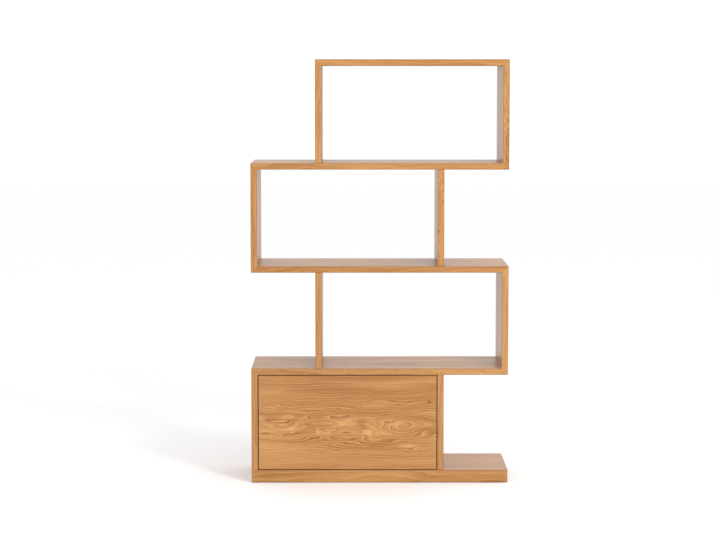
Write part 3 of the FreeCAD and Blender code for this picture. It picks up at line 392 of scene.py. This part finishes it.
# Strips, grain direction, seed, shade and liveliness, which adds contrast and curls
STRIPS = [
    ("lower_shelf_strips", "X", 56.7, 0.17, 1),
    ("middle_shelf_strips", "X", 59.3, 0.29, 1),
    ("upper_shelf_strips", "X", 62.9, 0.26, 1),
    ("top_board_strips", "X", 65.2, 0.27, 0),
    ("cabinet_left_upright_strips", "Z", 68.5, 0.22, 1),
    ("cabinet_right_upright_strips", "Z", 71.4, 0.15, 1),
    ("lower_left_upright_strips", "Z", 74.8, 0.12, 1),
    ("lower_right_upright_strips", "Z", 77.6, 0.04, 1),
    ("middle_left_upright_strips", "Z", 80.3, 0.14, 1),
    ("middle_right_upright_strips", "Z", 83.7, 0.12, 4),
    ("upper_left_upright_strips", "Z", 86.1, 0.14, 1),
    ("upper_right_upright_strips", "Z", 89.9, 0.08, 3),
]
STRIP_RING = 0.0062
STRIP_HEART = 0.055
STRIP_CUT = 0.075
PLAIN_CONTRAST = 0.52
CONTRAST_STEP = 0.13
CURL_STEP = 0.0022
for node, turn, seed, shade, lively in STRIPS:
    dress(node, oak_finish(f"{node}_oak", node, turn, node, Heart=STRIP_HEART, Cut=STRIP_CUT, Wander=0.012,
                           Swell=0.022, Curl=CURL_STEP * lively, Seed=seed, Ring=STRIP_RING,
                           Shade=shade, Contrast=PLAIN_CONTRAST + CONTRAST_STEP * lively))


def join_grains(tree, mask, first, second):
    """Surface of the first grain where the mask is 0, and of the second where it is 1."""
    joined = {"Colour": blend_colours(tree, mask, first["Colour"], second["Colour"])}
    for label in ("Roughness", "Relief"):
        joined[label] = add_node(tree, "Mix", {0: mask, 2: first[label], 3: second[label]}).outputs[0]
    return joined


# The base's strips darken towards the right. Its end strips run from front to rear, so the
# grain turns at the ends
BASE_STRIP = 0.008
BASE_CONTRAST = 0.75
DARKENS_FROM = 0.05
DARKENS_TO = 0.30
LEFT_SHADE = 0.04
RIGHT_SHADE = 0.24
material, tree, shader, place = new_finish("base_board_strips_oak")
along = add_node(tree, "SeparateXYZ", {0: place}).outputs[0]
darker_end = remap(tree, along, DARKENS_FROM, DARKENS_TO, LEFT_SHADE, RIGHT_SHADE)
front = lay_grain(tree, centre_grain(tree, place, "base_board_strips", "X"), {
    "Heart": 0.010, "Cut": 0.045, "Swell": 0.012, "Wander": 0.010, "Seed": 71.3, "Ring": STRIP_RING,
    "Shade": darker_end, "Contrast": BASE_CONTRAST})
ends = lay_grain(tree, centre_grain(tree, place, "base_board_strips", "Y"), {
    "Heart": STRIP_HEART, "Cut": STRIP_CUT, "Swell": 0.015, "Seed": 74.9, "Ring": STRIP_RING,
    "Shade": darker_end, "Contrast": BASE_CONTRAST})
base_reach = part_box("base_board_strips")[1][0]
is_end = maths(tree, "GREATER_THAN", maths(tree, "ABSOLUTE", along), base_reach - BASE_STRIP)
lacquer(tree, shader, place, "base_board_strips", join_grains(tree, is_end, front, ends))
dress("base_board_strips", material)


# Drop front. A panel framed by strips of solid oak, with one veneer over the whole face, whose
# lively crown-cut figure lies on its side. It is flush with the boards and stands in an even
# shadow gap.

def make_figure_swell():
    """Amount times e to the minus square of the distance from a centre, over a reach per axis."""
    group, given, result = new_group("figure_swell", [
        ("Place", "place", (0, 0, 0)), ("Centre", "place", (0, 0, 0)), ("Reach", "place", (0.1, 0.1, 0.1)),
        ("Amount", "number", 1.0),
    ], [("Swell", "number")])
    away = vector_maths(group, "SUBTRACT", given["Place"], given["Centre"])
    scaled = vector_maths(group, "DIVIDE", away, given["Reach"])
    square = add_node(group, "VectorMath", {0: scaled, 1: scaled}, operation="DOT_PRODUCT").outputs["Value"]
    falling = maths(group, "EXPONENT", maths(group, "MULTIPLY", square, -1.0))
    group.links.new(maths(group, "MULTIPLY", falling, given["Amount"]), result["Swell"])
    return group


FIGURE_SWELL = make_figure_swell()


def gather_swells(tree, place, swells):
    """Sum of several swells of the figure, each given as x, z, reach along, reach up, amount."""
    total = None
    for along, up, reach_along, reach_up, amount in swells:
        swell = add_node(tree, "Group", {"Place": place, "Centre": (along, up, 0.0), "Amount": amount,
                                         "Reach": (reach_along, reach_up, 1.0)}, node_tree=FIGURE_SWELL)
        one = swell.outputs[0]
        total = one if total is None else maths(tree, "ADD", total, one)
    return total


FIGURE_PALE = (0.675, 0.370, 0.132, 1.0)

# Places are metres from the panel's middle, to the right and up. A row that reaches 2 m is
# nearly even over the whole door
RING_SWELLS = [
    (0.205, -0.004, 0.090, 0.036, -3.68),
    (0.180, 0.002, 0.026, 0.011, 0.98),
    (0.050, -0.035, 0.055, 0.022, 1.3),
    (-0.270, -0.010, 0.060, 0.020, 1.4),
]
SHADE_SWELLS = [
    (0.000, 0.000, 2.000, 2.000, 0.29),
    (0.000, 0.112, 0.900, 0.070, 0.19),
    (-0.280, 0.122, 0.080, 0.014, -0.16),
    (0.200, 0.122, 0.150, 0.012, -0.10),
    (0.000, 0.176, 0.900, 0.016, 0.22),
    (-0.035, -0.005, 0.055, 0.013, -0.36),
    (-0.099, -0.042, 0.040, 0.011, -0.36),
    (-0.220, -0.024, 0.030, 0.009, -0.30),
    (0.319, 0.081, 0.006, 0.005, 0.60),
    (0.103, -0.042, 0.075, 0.014, -0.30),
    (-0.250, -0.008, 0.045, 0.014, -0.20),
    (0.190, -0.006, 0.045, 0.016, -0.28),
    (0.097, -0.012, 0.020, 0.036, -0.16),
    (-0.325, 0.163, 0.050, 0.012, 0.15),
    (0.270, -0.178, 0.120, 0.009, 0.14),
    (0.060, -0.006, 0.018, 0.022, 0.10),
    (0.062, -0.093, 0.022, 0.006, -0.20),
    (0.012, -0.071, 0.068, 0.018, -0.24),
    (0.238, -0.094, 0.035, 0.009, -0.45),
    (-0.314, -0.036, 0.030, 0.009, -0.24),
    (-0.145, -0.018, 0.032, 0.016, -0.20),
    (0.303, -0.041, 0.020, 0.012, -0.18),
    (0.000, -0.150, 0.900, 0.050, 0.12),
]
RIPPLE_SWELLS = [
    (0.000, 0.000, 2.000, 2.000, 0.005),
    (0.000, -0.025, 0.600, 0.120, 0.020),
    (0.211, -0.004, 0.080, 0.034, -0.012),
]
CURL_SWELLS = [
    (-0.250, 0.050, 0.070, 0.014, 0.010),
    (-0.060, 0.075, 0.050, 0.012, 0.007),
]
CONTRAST_SWELLS = [
    (0.000, 0.000, 2.000, 2.000, 0.60),
    (0.000, -0.020, 0.600, 0.100, 0.75),
    (0.000, 0.130, 0.700, 0.060, 0.15),
    (-0.250, 0.060, 0.090, 0.012, 0.70),
    (-0.230, 0.024, 0.090, 0.012, -0.35),
    (0.000, -0.150, 0.700, 0.050, -0.20),
]


def lay_figure(tree, place):
    """Figure of the door's veneer, centred on the panel; gives the grain's outputs."""
    centred = centre_grain(tree, place, "flap_panel", "panel")
    return lay_grain(tree, centred, {
        "Heart": -0.020, "Cut": 0.045, "Wander": 0.012, "Swell": 0.016, "Ring": 0.0075, "Seed": 77.2,
        "Drift": 0.20, "Pale": FIGURE_PALE,
        "Contrast": gather_swells(tree, centred, CONTRAST_SWELLS),
        "Ripple": gather_swells(tree, centred, RIPPLE_SWELLS),
        "Curl": gather_swells(tree, centred, CURL_SWELLS),
        "Extra Rings": gather_swells(tree, centred, RING_SWELLS),
        "Shade": gather_swells(tree, centred, SHADE_SWELLS)})


material, tree, shader, place = new_finish("flap_figure")
lacquer(tree, shader, place, "flap_side_strips", lay_figure(tree, place))
dress("flap_panel", material)
dress("flap_end_strips", material)

# The veneer covers the upright strips too, so their own grain shows on their edges only
VENEER_THICK = 0.0006
material, tree, shader, place = new_finish("flap_side_oak")
solid = lay_grain(tree, centre_grain(tree, place, "flap_side_strips", "Z"), {
    "Heart": STRIP_HEART, "Cut": STRIP_CUT, "Wander": 0.010, "Swell": 0.016, "Seed": 97.3, "Ring": STRIP_RING,
    "Shade": 0.14, "Contrast": 0.60})
flap_low, flap_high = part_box("flap_side_strips")
depth = add_node(tree, "SeparateXYZ", {0: place}).outputs[1]
from_middle = maths(tree, "ABSOLUTE", maths(tree, "SUBTRACT", depth, (flap_low[1] + flap_high[1]) / 2))
is_veneer = maths(tree, "GREATER_THAN", from_middle, (flap_high[1] - flap_low[1]) / 2 - VENEER_THICK)
lacquer(tree, shader, place, "flap_side_strips", join_grains(tree, is_veneer, solid, lay_figure(tree, place)))
dress("flap_side_strips", material)


# Back panel. Thin oak plywood, its face grain upright, held in grooves all round the cabinet
# and lacquered like the boards.

dress("back_panel", oak_finish("back_panel_veneer", "back_panel", "Z", "back_panel", Heart=0.10, Cut=0.10,
                               Swell=0.04, Ring=VENEER_RING, Seed=111.5, Contrast=0.70, Sheen=0.42))


# Dowels and loose tongues. Beech, left bare because they are glued inside the joints: a fine
# even wood with short darker flecks and no rings to speak of.

BEECH = (0.560, 0.330, 0.170, 1.0)
BEECH_FLECK = (0.330, 0.150, 0.065, 1.0)
FLECK_CELLS = (900.0, 260.0, 260.0)
FLECK_RANGE = (0.58, 0.68)
BEECH_ROUGHNESS = 0.62
FLECK_ROUGHNESS = 0.10
material, tree, shader, place = new_finish("bare_beech")
flecks = remap(tree, stretched_noise(tree, place, FLECK_CELLS, 1.0), *FLECK_RANGE)
beech = {
    "Colour": blend_colours(tree, flecks, BEECH, BEECH_FLECK),
    "Roughness": maths(tree, "MULTIPLY_ADD", flecks, FLECK_ROUGHNESS, BEECH_ROUGHNESS),
    "Relief": flecks,
}
lay_surface(tree, shader, beech, strength=0.3, depth=0.0001)
dress("dowels", material)
dress("corner_tongues", material)


# Glides and hinge washers. Natural nylon: moulded discs pressed into the base's underside,
# and thin washers that keep the hinge leaves apart. Milky, with a matt, slightly mottled skin.

MOTTLE_CELLS = (160.0, 160.0, 160.0)
PIT_CELLS = (2600.0, 2600.0, 2600.0)
PIT_ROUGHNESS = 0.10


def make_moulded_skin():
    """Fine moulded grain: coarse mottling of the colour and small even pits in the surface."""
    group, given, result = new_group("moulded_skin", [
        ("Place", "place", (0, 0, 0)), ("Colour", "colour", (0.8, 0.8, 0.8, 1.0)),
        ("Mottled", "colour", (0.6, 0.6, 0.6, 1.0)), ("Roughness", "number", 0.5),
    ], SURFACE)
    mottle = stretched_noise(group, given["Place"], MOTTLE_CELLS, 3.0)
    pits = stretched_noise(group, given["Place"], PIT_CELLS, 1.0)
    rough = maths(group, "ADD", given["Roughness"], swing(group, pits, PIT_ROUGHNESS))
    group.links.new(blend_colours(group, mottle, given["Colour"], given["Mottled"]), result["Colour"])
    group.links.new(rough, result["Roughness"])
    group.links.new(pits, result["Relief"])
    return group


MOULDED_SKIN = make_moulded_skin()


def moulded_finish(name, colour, mottled, rough):
    """Moulded plastic in one colour."""
    material, tree, shader, place = new_finish(name)
    skin = add_node(tree, "Group", {"Place": place, "Colour": colour, "Mottled": mottled,
                                    "Roughness": rough}, node_tree=MOULDED_SKIN)
    lay_surface(tree, shader, skin.outputs, strength=0.25, depth=0.00005)
    return material


NYLON = (0.700, 0.680, 0.610, 1.0)
MOTTLED_NYLON = (0.600, 0.575, 0.500, 1.0)
nylon = moulded_finish("natural_nylon", NYLON, MOTTLED_NYLON, rough=0.48)
dress("glides", nylon)
dress("hinge_washers", nylon)


# Knife hinges. Four leaves stamped from sheet steel, brushed and bronzed dark so that they
# don't show in the gap, let into the wood and screwed; a round pin is riveted in the cabinet's
# leaf and turns in the flap's.

# Cells of noise in a metre: few along the brushing or turning lines, many across them
ALONG_WIDTH = (40.0, 2400.0, 2400.0)
ALONG_DEPTH = (2400.0, 40.0, 2400.0)
ALONG_HEIGHT = (2400.0, 2400.0, 40.0)
TARNISH_CELLS = (90.0, 90.0, 90.0)
TARNISH_RANGE = (0.45, 0.80)
TARNISH_ROUGHNESS = 0.12
LINES_ROUGHNESS = 0.08


def make_rolled_metal():
    """Plated or turned metal: fine lines along one direction, cloudy sheen and a few dark specks."""
    group, given, result = new_group("rolled_metal", [
        ("Place", "place", (0, 0, 0)), ("Lines", "place", ALONG_WIDTH),
        ("Colour", "colour", (0.6, 0.6, 0.6, 1.0)), ("Tarnish", "colour", (0.4, 0.4, 0.4, 1.0)),
        ("Roughness", "number", 0.3),
    ], SURFACE)
    lines = stretched_noise(group, given["Place"], given["Lines"])
    dulled = remap(group, stretched_noise(group, given["Place"], TARNISH_CELLS, 4.0), *TARNISH_RANGE)
    rough = maths(group, "ADD", given["Roughness"], swing(group, lines, LINES_ROUGHNESS))
    rough = maths(group, "MULTIPLY_ADD", dulled, TARNISH_ROUGHNESS, rough)
    group.links.new(blend_colours(group, dulled, given["Colour"], given["Tarnish"]), result["Colour"])
    group.links.new(rough, result["Roughness"])
    group.links.new(lines, result["Relief"])
    return group


ROLLED_METAL = make_rolled_metal()


def metal_finish(name, colour, tarnish, rough, lines):
    """Metal with lines along the axis that has the fewest cells, or an even grain if all are alike."""
    material, tree, shader, place = new_finish(name)
    metal = add_node(tree, "Group", {"Place": place, "Lines": lines, "Colour": colour, "Tarnish": tarnish,
                                     "Roughness": rough}, node_tree=ROLLED_METAL)
    lay_surface(tree, shader, metal.outputs, strength=0.15, depth=0.00003)
    shader.inputs["Metallic"].default_value = 1.0
    return material


BRONZED = (0.105, 0.066, 0.038, 1.0)
BRONZED_WORN = (0.190, 0.120, 0.066, 1.0)
leaf_lying = metal_finish("hinge_bronzed_lying", BRONZED, BRONZED_WORN, rough=0.42, lines=ALONG_DEPTH)
leaf_upright = metal_finish("hinge_bronzed_upright", BRONZED, BRONZED_WORN, rough=0.42, lines=ALONG_HEIGHT)
for side in ("left", "right"):
    dress(f"hinge_cabinet_leaf_{side}", leaf_lying)
    dress(f"hinge_flap_leaf_{side}", leaf_upright)
dress("hinge_pins", metal_finish("hinge_pin_bronzed", BRONZED, BRONZED_WORN, rough=0.34, lines=ALONG_WIDTH))


# Brake stays. A stamped steel plate on each cabinet side carries a swivelling barrel of
# die-cast zinc, satin nickel-plated; a chromed rod slides through it from a forked bracket
# on the flap to a stop collar. A knurled brass screw presses on the rod as a brake.

STEEL = (0.560, 0.555, 0.540, 1.0)
DULL_STEEL = (0.400, 0.395, 0.380, 1.0)
NICKEL = (0.600, 0.575, 0.530, 1.0)
DULL_NICKEL = (0.440, 0.415, 0.375, 1.0)
CHROME = (0.780, 0.785, 0.790, 1.0)
DULL_CHROME = (0.660, 0.665, 0.670, 1.0)
BRASS = (0.700, 0.480, 0.190, 1.0)
DULL_BRASS = (0.440, 0.280, 0.100, 1.0)
CAST_CELLS = (700.0, 700.0, 700.0)
plate_steel = metal_finish("stay_plate_steel", STEEL, DULL_STEEL, rough=0.32, lines=ALONG_HEIGHT)
barrel_nickel = metal_finish("stay_barrel_nickel", NICKEL, DULL_NICKEL, rough=0.36, lines=CAST_CELLS)
rod_chrome = metal_finish("stay_rod_chrome", CHROME, DULL_CHROME, rough=0.10, lines=ALONG_DEPTH)
turned_brass = metal_finish("turned_brass", BRASS, DULL_BRASS, rough=0.26, lines=ALONG_WIDTH)
for side in ("left", "right"):
    dress(f"stay_plate_{side}", plate_steel)
    dress(f"stay_bracket_{side}", plate_steel)
    dress(f"stay_pivot_pin_{side}", plate_steel)
    dress(f"stay_guide_{side}", barrel_nickel)
    dress(f"stay_collar_{side}", barrel_nickel)
    dress(f"stay_rod_{side}", rod_chrome)


def closed_tube(points):
    """Corners and faces of a grid of rows and columns, closed round, with both ends a point.

    The grid's first and last rows are single points. Each cell between two whole rows is a
    quad of its four corners, and the cells at the ends are triangles.
    """
    rows, columns = points.shape[0] - 2, points.shape[1]
    ring = np.arange(columns)
    following = np.roll(ring, -1)
    first = 1 + np.arange(rows - 1)[:, None] * columns
    second = first + columns
    quads = np.stack([first + ring, first + following, second + following, second + ring], 2)
    last = 1 + (rows - 1) * columns
    tip = last + columns
    start_fan = np.stack([np.zeros(columns, int), 1 + following, 1 + ring], 1)
    end_fan = np.stack([np.full(columns, tip), last + ring, last + following], 1)
    corners = np.vstack([points[0, :1], points[1:-1].reshape(-1, 3), points[-1, :1]])
    return corners, quads.reshape(-1, 4), start_fan, end_fan


SMOOTH_BELOW = math.radians(32)


def turned_piece(name, solids, material, body):
    """Mesh object of several closed grids, smooth where it turns gently, riding on a body."""
    corners, faces = [], []
    count = 0
    for points in solids:
        vertices, quads, start_fan, end_fan = closed_tube(points)
        corners.append(vertices)
        for part in (quads, start_fan, end_fan):
            faces.extend((part + count).tolist())
        count += len(vertices)
    mesh = bpy.data.meshes.new(name)
    mesh.from_pydata(np.vstack(corners), [], faces)
    mesh.set_sharp_from_angle(angle=SMOOTH_BELOW)
    mesh.materials.append(material)
    piece = bpy.data.objects.new(name, mesh)
    bpy.context.collection.objects.link(piece)
    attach(piece, body)
    return piece


def round_section(profile, columns):
    """Radius, height and angle of a turned profile: its points are rows, the angles columns."""
    radius, height = np.array(profile, float).T[:, :, None]
    angle = np.arange(columns) * 2 * np.pi / columns
    return np.broadcast_arrays(radius, height, angle)


def point_grid(radius, height, angle, origin, axis):
    """Points about an axis through an origin: height lies along the axis, radius square to it."""
    axis = np.array(axis, float)
    side = np.array([0.0, 1.0, 0.0]) if abs(axis[0]) > 0.5 else np.array([1.0, 0.0, 0.0])
    other = np.cross(axis, side)
    across = radius * np.cos(angle)
    up = radius * np.sin(angle)
    return np.array(origin) + height[..., None] * axis + across[..., None] * side + up[..., None] * other


def corners_and_middle(node):
    """Lowest corner, middle and highest corner of a CAD piece."""
    low, high = (np.array(corner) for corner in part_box(node))
    return low, (low + high) / 2, high


# Brake screw: a knob with a knurled rim, a rounded face with a coin slot, and a plain shank
KNOB_THICK = 0.004
KNOB_RADIUS = 0.005
SHANK_RADIUS = 0.002
SHANK_TIP_SHARE = 0.7
SHANK_CHAMFER = 0.0004
FACE_INSET = 0.00005
FACE_STARTS = 0.0002
FACE_RIM = 0.0016
FACE_CENTRE = 0.0002
FACE_ROWS = 14
KNURLS = 30
KNURL_DEPTH = 0.00028
COLUMNS_A_KNURL = 6
SLOT_HALF = 0.00055
SLOT_DEPTH = 0.0011
SLOT_WALL = 0.00008

# Points of the knob's two rounded rims: how far inside the knob's radius, then how far in
# front of its back or behind its face
BACK_ROUND = ((0.0005, 0.0), (0.0002, 0.0002), (0.0, 0.0006))
FACE_ROUND = ((0.0, 0.0020), (0.0, 0.0010), (0.0003, 0.0005), (0.0008, 0.00015), (0.0013, FACE_INSET))


def brake_knob(side, toward):
    """Turned profile whose rim radius falls by a triangle wave round it, and whose face drops
    by the slot's depth wherever the distance from the slot's line is under its half width."""
    low, middle, high = corners_and_middle(f"stay_brake_screw_{side}")
    face = high[0] if toward > 0 else low[0]
    length = high[0] - low[0]
    profile = [(0.0, -length), (SHANK_RADIUS * SHANK_TIP_SHARE, -length),
               (SHANK_RADIUS, SHANK_CHAMFER - length), (SHANK_RADIUS, -KNOB_THICK)]
    profile += [(KNOB_RADIUS - inside, rise - KNOB_THICK) for inside, rise in BACK_ROUND]
    profile += [(KNOB_RADIUS - inside, -drop) for inside, drop in FACE_ROUND]
    profile += [(reach, -FACE_INSET) for reach in np.linspace(KNOB_RADIUS - FACE_RIM, FACE_CENTRE, FACE_ROWS)]
    profile += [(0.0, -FACE_INSET)]
    radius, height, angle = round_section(profile, KNURLS * COLUMNS_A_KNURL)
    on_rim = radius >= KNOB_RADIUS
    knurl = np.abs((angle * KNURLS / (2 * np.pi)) % 1 - 0.5) * 2
    radius = radius - on_rim * KNURL_DEPTH * knurl
    from_slot = np.abs(radius * np.sin(angle))
    on_face = height > -FACE_STARTS
    wall = np.clip((SLOT_HALF - from_slot) / SLOT_WALL + 0.5, 0, 1)
    height = height - on_face * wall * SLOT_DEPTH
    points = point_grid(radius, height, angle, (face, middle[1], middle[2]), (toward, 0, 0))
    knob = turned_piece(f"brake_knob_{side}", [points], turned_brass, f"guide_{side}")
    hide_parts(f"stay_brake_screw_{side}")


brake_knob("left", 1)
brake_knob("right", -1)


# Touch latch. A spring plunger in a brown moulded housing, screwed under the lower shelf
# behind the flap's upper edge, and a steel strike plate that it pushes against.

BROWN = (0.062, 0.036, 0.022, 1.0)
MOTTLED_BROWN = (0.045, 0.026, 0.016, 1.0)
brown_plastic = moulded_finish("brown_plastic", BROWN, MOTTLED_BROWN, rough=0.46)
dress("latch_housing", brown_plastic)
dress("latch_plunger", brown_plastic)
dress("latch_strike", metal_finish("strike_steel", STEEL, DULL_STEEL, rough=0.30, lines=ALONG_WIDTH))


# Screws. Zinc-plated countersunk wood screws with a cross recess and a coarse thread, ten in
# the carcass and ten in the flap, their heads flush with the fittings that they hold.

ZINC = (0.600, 0.605, 0.600, 1.0)
DULL_ZINC = (0.470, 0.465, 0.430, 1.0)
PLATED_CELLS = (900.0, 900.0, 900.0)
zinc = metal_finish("bright_zinc", ZINC, DULL_ZINC, rough=0.27, lines=PLATED_CELLS)

SCREW_RADIUS = 0.00175
SCREW_LENGTH = 0.015
SCREW_COLUMNS = 48
PLAIN_SHANK = 0.0035
POINT_LENGTH = 0.003
BLUNT_TIP = 0.0004
HEAD_RADIUS = 0.00325
HEAD_CENTRE = 0.00016
HEAD_EDGE = 0.0002
HEAD_ROWS = 22
HEAD_RIM = ((0.0, 0.00012), (0.00005, 0.00022))
THREAD_PITCH = 0.0016
THREAD_DEPTH = 0.00045
ROWS_A_TURN = 6
FLANK_SLOPE = 3.2
CREST_FLAT = 0.3
RECESS_HALF = 0.00042
RECESS_REACH = 0.0019
RECESS_DEPTH = 0.0015
RECESS_RISE = 0.6
RECESS_WALL = 0.00012


def wood_screw(place, axis):
    """Turned profile of head, shank and point; the radius of the thread falls by its depth
    between crests that climb one pitch a turn, and the face drops inside a cross."""
    depths = np.arange(PLAIN_SHANK, SCREW_LENGTH - BLUNT_TIP, THREAD_PITCH / ROWS_A_TURN)
    taper = np.clip((SCREW_LENGTH - depths) / POINT_LENGTH, 0, 1)
    profile = [(0.0, 0.0)]
    profile += [(reach, 0.0) for reach in np.linspace(HEAD_CENTRE, HEAD_RADIUS - HEAD_EDGE, HEAD_ROWS)]
    profile += [(HEAD_RADIUS - inside, -drop) for inside, drop in HEAD_RIM]
    profile += [(SCREW_RADIUS, SCREW_RADIUS - HEAD_RADIUS)]
    profile += [(SCREW_RADIUS * share, -depth) for share, depth in zip(taper, depths)]
    profile += [(0.0, -SCREW_LENGTH)]
    radius, height, angle = round_section(profile, SCREW_COLUMNS)
    turns = (-height / THREAD_PITCH + angle / (2 * np.pi)) % 1
    threaded = height <= -PLAIN_SHANK
    groove = np.clip(np.abs(turns - 0.5) * FLANK_SLOPE - CREST_FLAT, 0, 1)
    radius = radius - threaded * THREAD_DEPTH * groove * np.clip(radius / SCREW_RADIUS, 0, 1)
    across = np.abs(radius * np.cos(angle))
    up = np.abs(radius * np.sin(angle))
    inside_cross = np.maximum(np.minimum(RECESS_HALF - across, RECESS_REACH - up),
                              np.minimum(RECESS_HALF - up, RECESS_REACH - across))
    wall = np.clip(inside_cross / RECESS_WALL + 0.5, 0, 1)
    slope = 1 - np.clip(radius / RECESS_REACH, 0, 1) ** 2 * RECESS_RISE
    on_face = height == 0
    height = height - on_face * wall * RECESS_DEPTH * slope
    # The profile runs from the face to the point, so its rows are reversed for outward faces
    return point_grid(radius, height, angle, place, axis)[::-1]


# Where the screws sit in each fitting, from its end or its middle
LEAF_HALF = 0.0045
LEAF_SCREWS = (0.014, 0.030)
PLATE_SCREW = 0.022
PLATE_THICK = 0.002
BRACKET_SCREW = 0.014
WING_SCREW = 0.014
WING_THICK = 0.002
STRIKE_SCREW = 0.010
cabinet_screws = []
flap_screws = []
for side, inward in (("left", 1), ("right", -1)):
    low, middle, high = corners_and_middle(f"hinge_cabinet_leaf_{side}")
    leaf_face = high[0] if inward > 0 else low[0]
    for reach in LEAF_SCREWS:
        cabinet_screws.append(wood_screw((leaf_face, low[1] + LEAF_HALF + reach, middle[2]), (inward, 0, 0)))
    low, middle, high = corners_and_middle(f"hinge_flap_leaf_{side}")
    leaf_face = low[0] if inward > 0 else high[0]
    for reach in LEAF_SCREWS:
        flap_screws.append(wood_screw((leaf_face, middle[1], low[2] + LEAF_HALF + reach), (-inward, 0, 0)))
    low, middle, high = corners_and_middle(f"stay_plate_{side}")
    plate_face = low[0] + PLATE_THICK if inward > 0 else high[0] - PLATE_THICK
    for rise in (-PLATE_SCREW, PLATE_SCREW):
        cabinet_screws.append(wood_screw((plate_face, middle[1], middle[2] + rise), (inward, 0, 0)))
    low, middle, _ = corners_and_middle(f"stay_bracket_{side}")
    for rise in (-BRACKET_SCREW, BRACKET_SCREW):
        flap_screws.append(wood_screw((middle[0], low[1] + PLATE_THICK, middle[2] + rise), (0, 1, 0)))
_, middle, high = corners_and_middle("latch_housing")
for aside in (-WING_SCREW, WING_SCREW):
    cabinet_screws.append(wood_screw((middle[0] + aside, middle[1], high[2] - WING_THICK), (0, 0, -1)))
_, middle, high = corners_and_middle("latch_strike")
for aside in (-STRIKE_SCREW, STRIKE_SCREW):
    flap_screws.append(wood_screw((middle[0] + aside, high[1], middle[2]), (0, 1, 0)))
for name, solids, body, node in (("cabinet_wood_screws", cabinet_screws, "carcass", "cabinet_screws"),
                                 ("flap_wood_screws", flap_screws, "flap", "flap_screws")):
    set_of_screws = turned_piece(name, solids, zinc, body)
    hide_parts(node)


# Ground, light and camera. A pale seamless floor in an even white studio, with one soft box
# above head height on the right and in front, screened so that it leaves no mirror glare. Its
# soft shadow falls to the left and back.

# The floor lies a hair below the glides, so that the two planes don't share one place
FLOOR_HALF = 20.0
FLOOR_HEIGHT = -0.00004
FLOOR_PAINT = (0.960, 0.956, 0.962, 1.0)
FLOOR_CLOUDS = (0.952, 0.946, 0.956, 1.0)
CLOUD_CELLS = (1.3, 1.3, 1.3)
floor_corners = [(x * FLOOR_HALF, y * FLOOR_HALF, FLOOR_HEIGHT)
                 for x, y in ((-1, -1), (1, -1), (1, 1), (-1, 1))]
floor_mesh = bpy.data.meshes.new("studio_floor")
floor_mesh.from_pydata(floor_corners, [], [(0, 1, 2, 3)])
studio_floor = bpy.data.objects.new("studio_floor", floor_mesh)
bpy.context.collection.objects.link(studio_floor)
material, tree, shader, place = new_finish("studio_floor_paint")
clouds = stretched_noise(tree, place, CLOUD_CELLS, 3.0)
tree.links.new(blend_colours(tree, clouds, FLOOR_PAINT, FLOOR_CLOUDS), shader.inputs["Base Color"])
shader.inputs["Roughness"].default_value = 0.9
shader.inputs["Specular IOR Level"].default_value = 0.1
floor_mesh.materials.append(material)

WHITE = (1.0, 1.0, 1.0, 1.0)
STUDIO_STRENGTH = 1.04
world = bpy.data.worlds.new("white_studio")
world.use_nodes = True
surround = world.node_tree.nodes["Background"]
surround.inputs["Color"].default_value = WHITE
surround.inputs["Strength"].default_value = STUDIO_STRENGTH
bpy.context.scene.world = world

KEY_PLACE = (2.6, -4.1, 2.8)
KEY_TARGET = (0.0, 0.0, 0.7)
KEY_WIDTH = 1.1
KEY_POWER = 127.0
lamp = bpy.data.lights.new("key_soft_box", "AREA")
lamp.size = KEY_WIDTH
lamp.energy = KEY_POWER
soft_box = bpy.data.objects.new("key_soft_box", lamp)
soft_box.location = KEY_PLACE
soft_box.rotation_mode = "QUATERNION"
soft_box.rotation_quaternion = (Vector(KEY_TARGET) - Vector(KEY_PLACE)).to_track_quat("-Z", "Y")
soft_box.visible_glossy = False
bpy.context.collection.objects.link(soft_box)

# The photograph is taken almost level from eye height, a little left of the middle. Angles are
# in radians, the lens and its sensor in millimetres
EYE = (-0.09263, -7.73426, 1.58404)
LOOK_DOWN = 0.08033
TURN = -0.00111
LENS = 98.53
SENSOR_WIDTH = 36.0
VIEW_SHIFT = -0.05
camera = bpy.data.cameras.new("camera")
camera.lens = LENS
camera.sensor_width = SENSOR_WIDTH
camera.shift_y = VIEW_SHIFT
camera.clip_end = 100.0
viewer = bpy.data.objects.new("camera", camera)
viewer.location = EYE
viewer.rotation_euler = (math.pi / 2 - LOOK_DOWN, 0.0, TURN)
bpy.context.collection.objects.link(viewer)
bpy.context.scene.camera = viewer
bpy.context.scene.view_settings.view_transform = "Standard"
bpy.context.scene.view_settings.look = "None"
